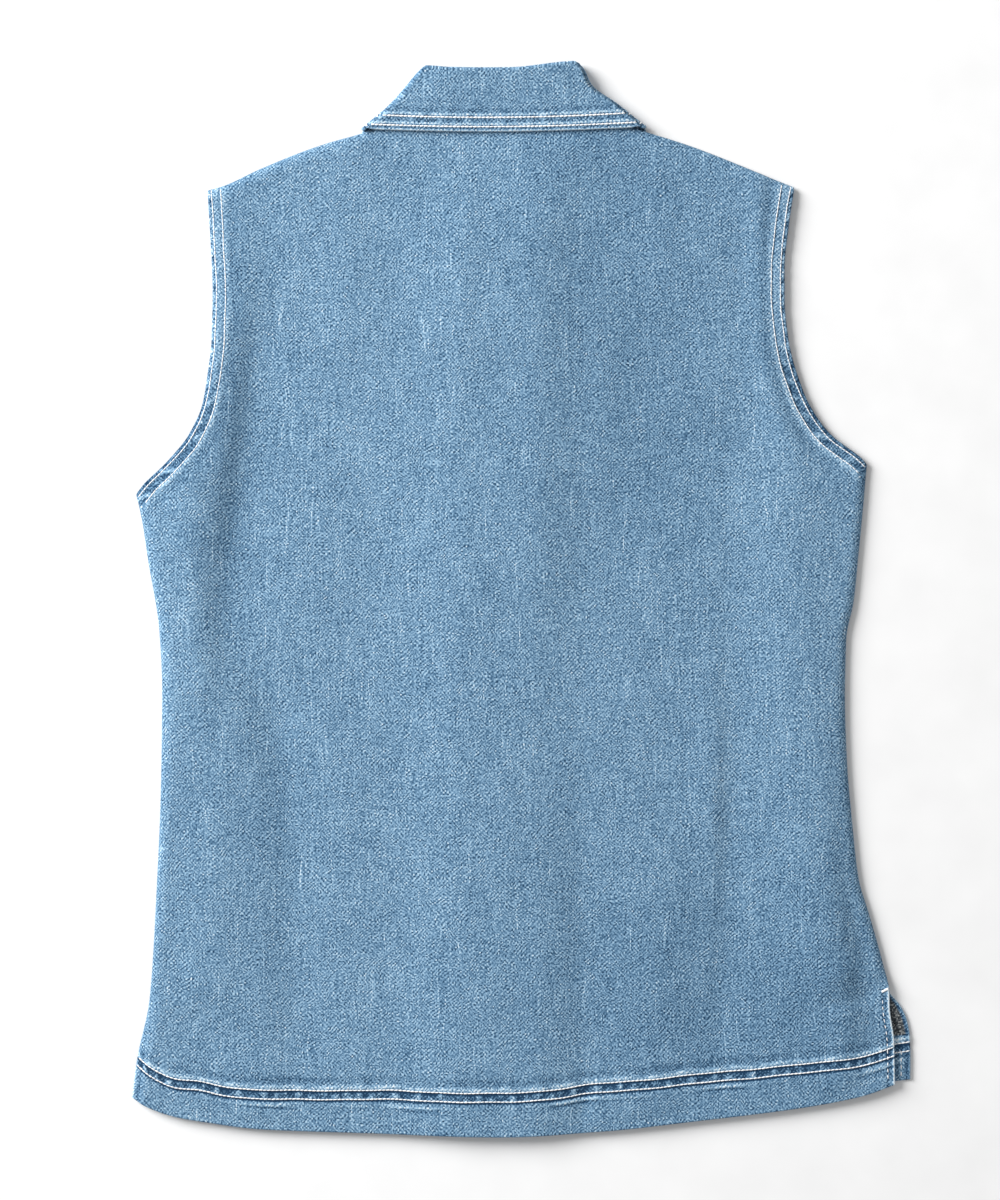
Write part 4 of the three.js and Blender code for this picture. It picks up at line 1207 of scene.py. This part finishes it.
def collar_lattice():
    """The collar's rings and, for each, its distance from the leaf's edge."""
    places = spaced(LEAF_LINES)
    rings = [collar_ring(1 - place / LEAF_DEPTH, True) for place in places]
    leaf, stand, beside = rings[-1], collar_ring(0.0, False), rings[-3]
    centre, across = (leaf + stand) / 2, leaf - stand
    width = np.linalg.norm(across, axis=1, keepdims=True)
    out = leaf - beside
    out -= across * (out * across).sum(axis=1, keepdims=True) / width**2
    out /= np.linalg.norm(out, axis=1, keepdims=True)
    for turned in np.radians(np.linspace(0, 180, 11)[1:-1]):
        rings.append(centre + across * 0.5 * math.cos(turned) + out * width / 2 * math.sin(turned))
        places = np.append(places, LEAF_DEPTH + 2)
    for down in np.linspace(0, -1, 11):
        rings.append(collar_ring(down, False))
        places = np.append(places, LEAF_DEPTH + 4)
    return np.array(rings), places


def wing_groove(normals):
    return WING_GROOVE * smoothstep(-normals[..., 2], 0.2, 0.8)


def make_collar(settings):
    middle, places = collar_lattice()
    normals = lattice_normals(middle)
    s = np.repeat(places[:, None], middle.shape[1], axis=1)
    along = np.concatenate([[0], np.cumsum(np.linalg.norm(np.diff(middle[0], axis=0), axis=1))])
    along = np.repeat(along[None, :], middle.shape[0], axis=0)
    first, second = COLLAR_ROWS
    wear_and_shade = 1.2 * bell(s / 1.1) - 0.9 * bell((s - 1.85) / 0.4)
    inside = smoothstep(s, first + 2.4, first + 3.0) * (1 - smoothstep(s, second - 1.0, second - 0.1))
    wear_and_shade += inside * (-0.42 + 0.75 * np.clip(ripple(along / 1.7, 2.0), 0, 1))
    for row in COLLAR_ROWS:
        ticks = 0.75 + 0.5 * np.sin(along * math.tau / 2.7)
        wear_and_shade += 1.0 * bell((s - row - 2.0) / 0.65) - 1.1 * ticks * bell((s - row - 0.95) / 0.45)
    # Painted shade: the leaf's tips are darker along their edge, where each tip turns over; this also holds
    # back the edge's pale wear there and lowers its puckers.
    wear_and_shade -= 0.8 * bell(s / 1.5) * smoothstep(np.abs(middle[..., 0]), 84, 90)
    wear_and_shade += -0.34 * bell((s - second - 4.4) / 1.6) + 0.12 * ripple(along / 3.1, 4.0) * bell((s - 12) / 6)
    half = HALF + 0.5 * pucker_height(settings, wear_and_shade)
    t = 1 - np.clip(s / HALF, 0, 1)
    half = half * np.where(s < HALF, np.sqrt(np.clip(1 - t * t, 0.02, 1)), 1)
    rows = np.maximum.reduce([bell((s - row) / 0.9) for row in COLLAR_ROWS])
    outer = middle + normals * (half - rows * wing_groove(normals))[..., None]
    inner = middle - normals * np.minimum(half, HALF)[..., None]
    for face in (outer, inner):
        face[..., 2] = np.maximum(face[..., 2], FLOOR_GAP)
    marks = {"wear_and_shade": (wear_and_shade, wear_and_shade), "wrong_side": (0 * s, 0 * s)}
    piece = cloth_wall("collar_cloth", place(outer), place(inner), marks)
    return dress(piece, "denim", settings, ["collar"])


def stitch_line(points, normals, pitch):
    """Even places along a line of points in metres: centre, way and normal for each stitch."""
    points, normals = np.asarray(points, float), np.asarray(normals, float)
    starts = np.concatenate([[0], np.cumsum(np.linalg.norm(np.diff(points, axis=0), axis=1))])
    count = max(2, int(starts[-1] / pitch))
    ends = np.linspace(0, starts[-1], count + 1)
    at = np.stack([np.interp(ends, starts, points[:, i]) for i in range(3)], axis=1)
    facing = np.stack([np.interp(ends, starts, normals[:, i]) for i in range(3)], axis=1)
    return [
        (Vector((a + b) / 2), Vector(b - a), Vector(n).normalized())
        for a, b, n in zip(at[:-1], at[1:], facing[:-1])
    ]


def seat(tree, line, up=1):
    """Points of a plan line in pattern millimetres, on the cloth that tree holds."""
    points, normals = [], []
    for x, y, _ in place([(x, y, 0) for x, y in line]):
        hit, normal, _, _ = tree.ray_cast(Vector((x, y, CAST_HEIGHT * up)), Vector((0, 0, -up)))
        if hit is not None:
            points.append(hit)
            normals.append(normal)
    if len(points) < 2:
        raise RuntimeError("a row of stitches misses the cloth")
    return points, normals


def add_lens(bm, centre, axes, lengths, segments):
    """Adds a lens of the given lengths along its axes, the way, the side and the normal."""
    turned = Matrix(axes).transposed().to_4x4()
    matrix = Matrix.Translation(centre) @ turned @ Matrix.Diagonal((*lengths, 1))
    across, along = segments
    bmesh.ops.create_uvsphere(bm, u_segments=across, v_segments=along, radius=1, matrix=matrix)


def make_stitches(name, lines, settings, width=1.0, pitch=1.0, fill=1.0, proud=0.12):
    """Joined meshes of small lens-shaped stitches, sunk a little into the cloth and slanted. They
    differ a little in length, slant and width, by waves that don't match."""
    bm, few = bmesh.new(), bmesh.new()
    number = 0
    thread_width = settings.thread_width * width
    for points, normals in lines:
        for centre, way, normal in stitch_line(points, normals, settings.stitch * pitch):
            number += 1
            length = way.length * settings.fill * fill * (1 + 0.07 * math.sin(number * 1.3))
            side = normal.cross(way).normalized()
            slant = settings.slant * (1 + 0.6 * math.sin(number * 3.7))
            way = (way.normalized() + side * slant).normalized()
            size = 1 + 0.12 * math.sin(number * 2.4) + 0.08 * math.sin(number * 0.31)
            lengths = (length / 2, thread_width / 2 * size, thread_width / 2.6)
            axes = (way, normal.cross(way).normalized(), normal)
            add_lens(few, centre + normal * thread_width * proud, axes, lengths, (6, 5))
            if number % STITCHES_AT_ONCE == 0:
                few = joined(bm, few)
    joined(bm, few).free()
    return dress(finished(name, bm), "thread", settings)


def joined(bm, few):
    """Adds the few stitches to the rest, and gives back an empty bmesh for the next ones. An
    operator is quick on a small bmesh alone."""
    mesh = mesh_of("few_stitches", few)
    bm.from_mesh(mesh)
    bpy.data.meshes.remove(mesh)
    return bmesh.new()


def tree_of(name):
    made = bmesh.new()
    made.from_mesh(bpy.data.objects[name].data)
    tree = BVHTree.FromBMesh(made)
    made.free()
    return tree


def settings_of(context):
    return context.scene.vest_settings


def length_setting(name, description, default):
    return bpy.props.FloatProperty(
        name=name, description=description, default=default, subtype="DISTANCE", unit="LENGTH"
    )


def number_setting(name, description, default):
    return bpy.props.FloatProperty(name=name, description=description, default=default)


def colour_setting(name, what, default):
    return bpy.props.StringProperty(name=name, description="sRGB hex of " + what, default=default)


class VestSettings(bpy.types.PropertyGroup):
    """Sizes and colours of the vest's cloth and sewing."""

    pucker: length_setting("Pucker height", "Height of the worn ridges beside the stitching", 0.00042)
    stitch: length_setting("Stitch length", "Length of one stitch of the topstitching", 0.0027)
    thread_width: length_setting("Thread width", "Width of the topstitching thread on the cloth", 0.00098)
    fill: number_setting("Stitch fill", "Share of a stitch's length that shows above the cloth", 1.25)
    fade: number_setting("Fading", "How much paler the worn ridges are than the cloth", 0.5)
    thread: length_setting("Thread of the cloth", "Pitch of the threads in the denim", 0.00088)
    slant: number_setting("Stitch slant", "How far a stitch turns off its row, as a slope", 0.07)
    deep: colour_setting("Deep blue", "denim that hasn't worn", "#1f3d5a")
    mid: colour_setting("Washed blue", "the washed denim's middle tone", "#6a8eac")
    pale: colour_setting("Worn blue", "denim worn through to its core", "#e6f0f6")
    sewing: colour_setting("Sewing thread", "the topstitching thread", "#ffffff")
    floor: colour_setting("Floor", "the floor", "#f4f4f4")


class StageSettings(bpy.types.PropertyGroup):
    """The camera's place over the vest."""

    pixel: length_setting("Size of a pixel", "Length on the vest that a row of the picture covers", 0.00066)
    rows: number_setting("Rows", "Number of the picture's rows", 1200)
    centre_pixel: number_setting("Centre back", "Pixels from the picture's middle to the centre back", 3.0)
    lens: number_setting("Lens", "Focal length in millimetres", 100.0)


class VEST_OT_back(bpy.types.Operator):
    """Make the back with its turned hem, vents and armhole edges"""

    bl_idname = "vest.back"
    bl_label = "Back"

    def execute(self, context):
        make_back(settings_of(context))
        return {"FINISHED"}


class VEST_OT_fronts(bpy.types.Operator):
    """Make the two fronts, which lie under the back"""

    bl_idname = "vest.fronts"
    bl_label = "Fronts"

    def execute(self, context):
        for front in FRONTS:
            make_front(settings_of(context), *front)
        return {"FINISHED"}


class VEST_OT_collar(bpy.types.Operator):
    """Make the folded collar"""

    bl_idname = "vest.collar"
    bl_label = "Collar"

    def execute(self, context):
        make_collar(settings_of(context))
        return {"FINISHED"}


class VEST_OT_stitching(bpy.types.Operator):
    """Sew the rows of topstitching and the bartack"""

    bl_idname = "vest.stitching"
    bl_label = "Stitching"

    def execute(self, context):
        settings = settings_of(context)
        back = tree_of("back_cloth")
        x = np.linspace(*HEM_ROW_SPAN, 300)
        rows = [np.stack([x, hem_y(x) + hem_row(x) - drop], axis=1) for drop in (0, TWIN)]
        make_stitches("hem_stitches", [seat(back, row) for row in rows], settings)
        for name, hole, side in (("left", LEFT_HOLE, -1), ("right", RIGHT_HOLE, 1)):
            wander = [ROW_WANDER * 0.6 * ripple(hole.starts / 8, side + row) for row in ARMHOLE_ROWS]
            rows = [seat(back, hole.moved(row + by, side)) for row, by in zip(ARMHOLE_ROWS, wander)]
            make_stitches(f"{name}_armhole_stitches", rows, settings, **ARMHOLE_STITCHES)
        rows = [seat(back, RIGHT_VENT.moved(VENT_ROW, 1)[1:-2])]
        make_stitches("vent_stitches", rows, settings, **VENT_STITCHES)
        make_stitches("collar_stitches", collar_rows(), settings, width=1.2)
        self.sew_front_vent(settings)
        self.sew_bartack(back, settings)
        for front in FRONTS:
            self.sew_front(settings, *front[:4])
        return {"FINISHED"}

    def sew_front_vent(self, settings):
        """What shows of the right front's inside in the open vent."""
        front = tree_of("front_right_cloth")
        x = np.linspace(*FRONT_VENT_ACROSS, 12)
        low = front_hem_y(x) + hem_row(x) - FRONT_ROW_DROP
        rows = [seat(front, np.stack([x, low - drop], axis=1)) for drop in (0, TWIN)]
        make_stitches("front_hem_stitches", rows, settings)
        y = np.linspace(*FRONT_VENT_DOWN, 10)
        edge = smooth_through(RIGHT_FRONT_SIDE, 1, 0)
        down = np.stack([edge(y) - FRONT_VENT_ROW, y], axis=1)
        make_stitches("front_vent_stitches", [seat(front, down)], settings, **VENT_STITCHES)

    def sew_bartack(self, back, settings):
        """A short bar of close zigzag stitches at the top of the right vent."""
        bm = bmesh.new()
        for middle in np.linspace(*BARTACK_ENDS, 9):
            points, normals = seat(back, [middle + BARTACK_ACROSS * side for side in (-1, 0, 1)])
            if len(points) < 3:
                raise RuntimeError("the bartack misses the back's cloth")
            way, normal = points[2] - points[0], normals[1]
            axes = (way.normalized(), normal.cross(way).normalized(), normal)
            lengths = (way.length * BARTACK_REACH, *BARTACK_HALF)
            add_lens(bm, points[1] + normal * BARTACK_PROUD, axes, lengths, (8, 6))
        dress(finished("vent_bartack", bm), "thread", settings)

    def sew_front(self, settings, name, mirror, side, armhole):
        """The rows on a front's outer face, which lies down: hem, armhole and front band."""
        outer_edge, _ = front_edges(mirror, side, armhole)
        hole = EdgeLine(edge_points(outer_edge, UNDERARM + 1e-6, 1, 60))
        x = np.linspace(-OVERLAP + 3, FRONT_WIDTH, 120)
        low = front_hem_y(mirror * x) + hem_row(mirror * x) - FRONT_INSET
        lines = [np.stack([x, low - drop], axis=1) for drop in (0, TWIN)]
        lines += [hole.moved(row, 1)[1:-1] for row in ARMHOLE_ROWS]
        y = np.linspace(*FRONT_BAND_SPAN, 120)
        lines += [np.stack([np.full(120, row - OVERLAP), y], axis=1) for row in PLACKET_ROWS]
        front = tree_of(name + "_cloth")
        seated = [seat(front, line * (mirror, 1), up=-1) for line in lines]
        make_stitches(name + "_stitches", seated, settings, **HIDDEN_STITCHES)


def collar_rows():
    """The collar's two stitched rows, on the leaf's outer face from wing to wing."""
    middle, places = collar_lattice()
    normals = lattice_normals(middle)
    lines = []
    for row in COLLAR_ROWS:
        i = int(np.argmin(np.abs(places - row)))
        points = place(middle[i] + normals[i] * (HALF - wing_groove(normals[i]))[:, None])
        lines.append((points[2:-2], normals[i][2:-2]))
    return lines


class VEST_OT_buttons(bpy.types.Operator):
    """Make the tack buttons under the front edges"""

    bl_idname = "vest.buttons"
    bl_label = "Buttons"

    # Profile of a tack button, face down: radius and height in millimetres.
    PROFILE = [
        (0, 0.75), (2.0, 0.65), (3.6, 0.8), (4.9, 0.75), (5.5, 0.3), (6.2, 0.02), (7.3, 0.02),
        (8.1, 0.35), (8.5, 0.95), (8.4, 1.5), (7.6, 2.0), (5.0, 2.3), (0, 2.35),
    ]

    def execute(self, context):
        for name in sorted(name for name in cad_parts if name.startswith("button_")):
            low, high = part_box(name)
            bm = bmesh.new()
            profile = [bm.verts.new((radius / 1000, 0, z / 1000)) for radius, z in self.PROFILE]
            edges = [bm.edges.new(pair) for pair in zip(profile[:-1], profile[1:])]
            spun = {"cent": (0, 0, 0), "axis": (0, 0, 1), "angle": math.tau, "steps": 40}
            bmesh.ops.spin(bm, geom=profile + edges, use_merge=True, **spun)
            bmesh.ops.remove_doubles(bm, verts=bm.verts[:], dist=1e-6)
            bmesh.ops.recalc_face_normals(bm, faces=bm.faces[:])
            centre = Vector(((low[0] + high[0]) / 2, (low[1] + high[1]) / 2, 0))
            bmesh.ops.translate(bm, verts=bm.verts[:], vec=centre)
            piece = finished(name.replace("button", "tack_button"), bm)
            dress(piece, "button", settings_of(context), [name])
        return {"FINISHED"}


# Each light: name, place and size in metres, and power in watts. Then the sky's strength, the
# camera's sensor in millimetres and half the floor's width in metres.
LIGHTS = (("key", (-3.27, 1.83, 1.91), 2.6, 310), ("fill", (1.8, -1.2, 2.6), 2.4, 6))
SKY = 0.34
SENSOR = 36
FLOOR_HALF = 6


class VEST_OT_stage(bpy.types.Operator):
    """Set up the floor, the lights and the camera"""

    bl_idname = "vest.stage"
    bl_label = "Stage"

    def execute(self, context):
        stage = context.scene.vest_stage
        self.add_floor(settings_of(context))
        for light in LIGHTS:
            self.add_light(*light)
        world = bpy.data.worlds.new("studio")
        world.use_nodes = True
        inputs = world.node_tree.nodes["Background"].inputs
        inputs["Color"].default_value = (1, 1, 1, 1)
        inputs["Strength"].default_value = SKY
        context.scene.world = world
        context.scene.view_settings.view_transform = "Standard"
        camera = bpy.data.cameras.new("camera")
        camera.lens = stage.lens
        camera.sensor_width = SENSOR
        holder = linked("camera", camera)
        height = stage.rows * stage.pixel * stage.lens / SENSOR
        x = CENTRE[0] / 1000 - stage.centre_pixel * stage.pixel
        holder.location = (x, CENTRE[1] / 1000, height + BACK_LEVEL / 1000)
        context.scene.camera = holder
        return {"FINISHED"}

    def add_floor(self, settings):
        bm = bmesh.new()
        bmesh.ops.create_grid(bm, x_segments=1, y_segments=1, size=FLOOR_HALF)
        floor = linked("floor", mesh_of("floor", bm))
        floor.data.materials.append(material_of("floor", settings))

    def add_light(self, name, place_at, size, power):
        light = bpy.data.lights.new(name, "AREA")
        light.shape = "DISK"
        light.size = size
        light.energy = power
        holder = linked(name, light)
        holder.location = place_at
        holder.rotation_euler = (-Vector(place_at)).to_track_quat("-Z", "Y").to_euler()


class VEST_PT_panel(bpy.types.Panel):
    """Lists the vest's settings and what makes it"""

    bl_label = "Denim Vest"
    bl_idname = "VEST_PT_panel"
    bl_space_type = "VIEW_3D"
    bl_region_type = "UI"
    bl_category = "Vest"

    def draw(self, context):
        for group in (context.scene.vest_settings, context.scene.vest_stage):
            for key in group.__annotations__:
                self.layout.prop(group, key)
        for operator in OPERATORS:
            self.layout.operator(operator.bl_idname)


OPERATORS = (
    VEST_OT_stage,
    VEST_OT_back,
    VEST_OT_fronts,
    VEST_OT_collar,
    VEST_OT_stitching,
    VEST_OT_buttons,
)
CLASSES = (VestSettings, StageSettings, *OPERATORS, VEST_PT_panel)


def register():
    for cls in CLASSES:
        bpy.utils.register_class(cls)
    bpy.types.Scene.vest_settings = bpy.props.PointerProperty(type=VestSettings)
    bpy.types.Scene.vest_stage = bpy.props.PointerProperty(type=StageSettings)


def unregister():
    del bpy.types.Scene.vest_stage
    del bpy.types.Scene.vest_settings
    for cls in reversed(CLASSES):
        bpy.utils.unregister_class(cls)


def main():
    register()
    bpy.ops.vest.stage()
    bpy.ops.vest.back()
    bpy.ops.vest.fronts()
    bpy.ops.vest.collar()
    bpy.ops.vest.stitching()
    bpy.ops.vest.buttons()


if __name__ == "__main__":
    main()
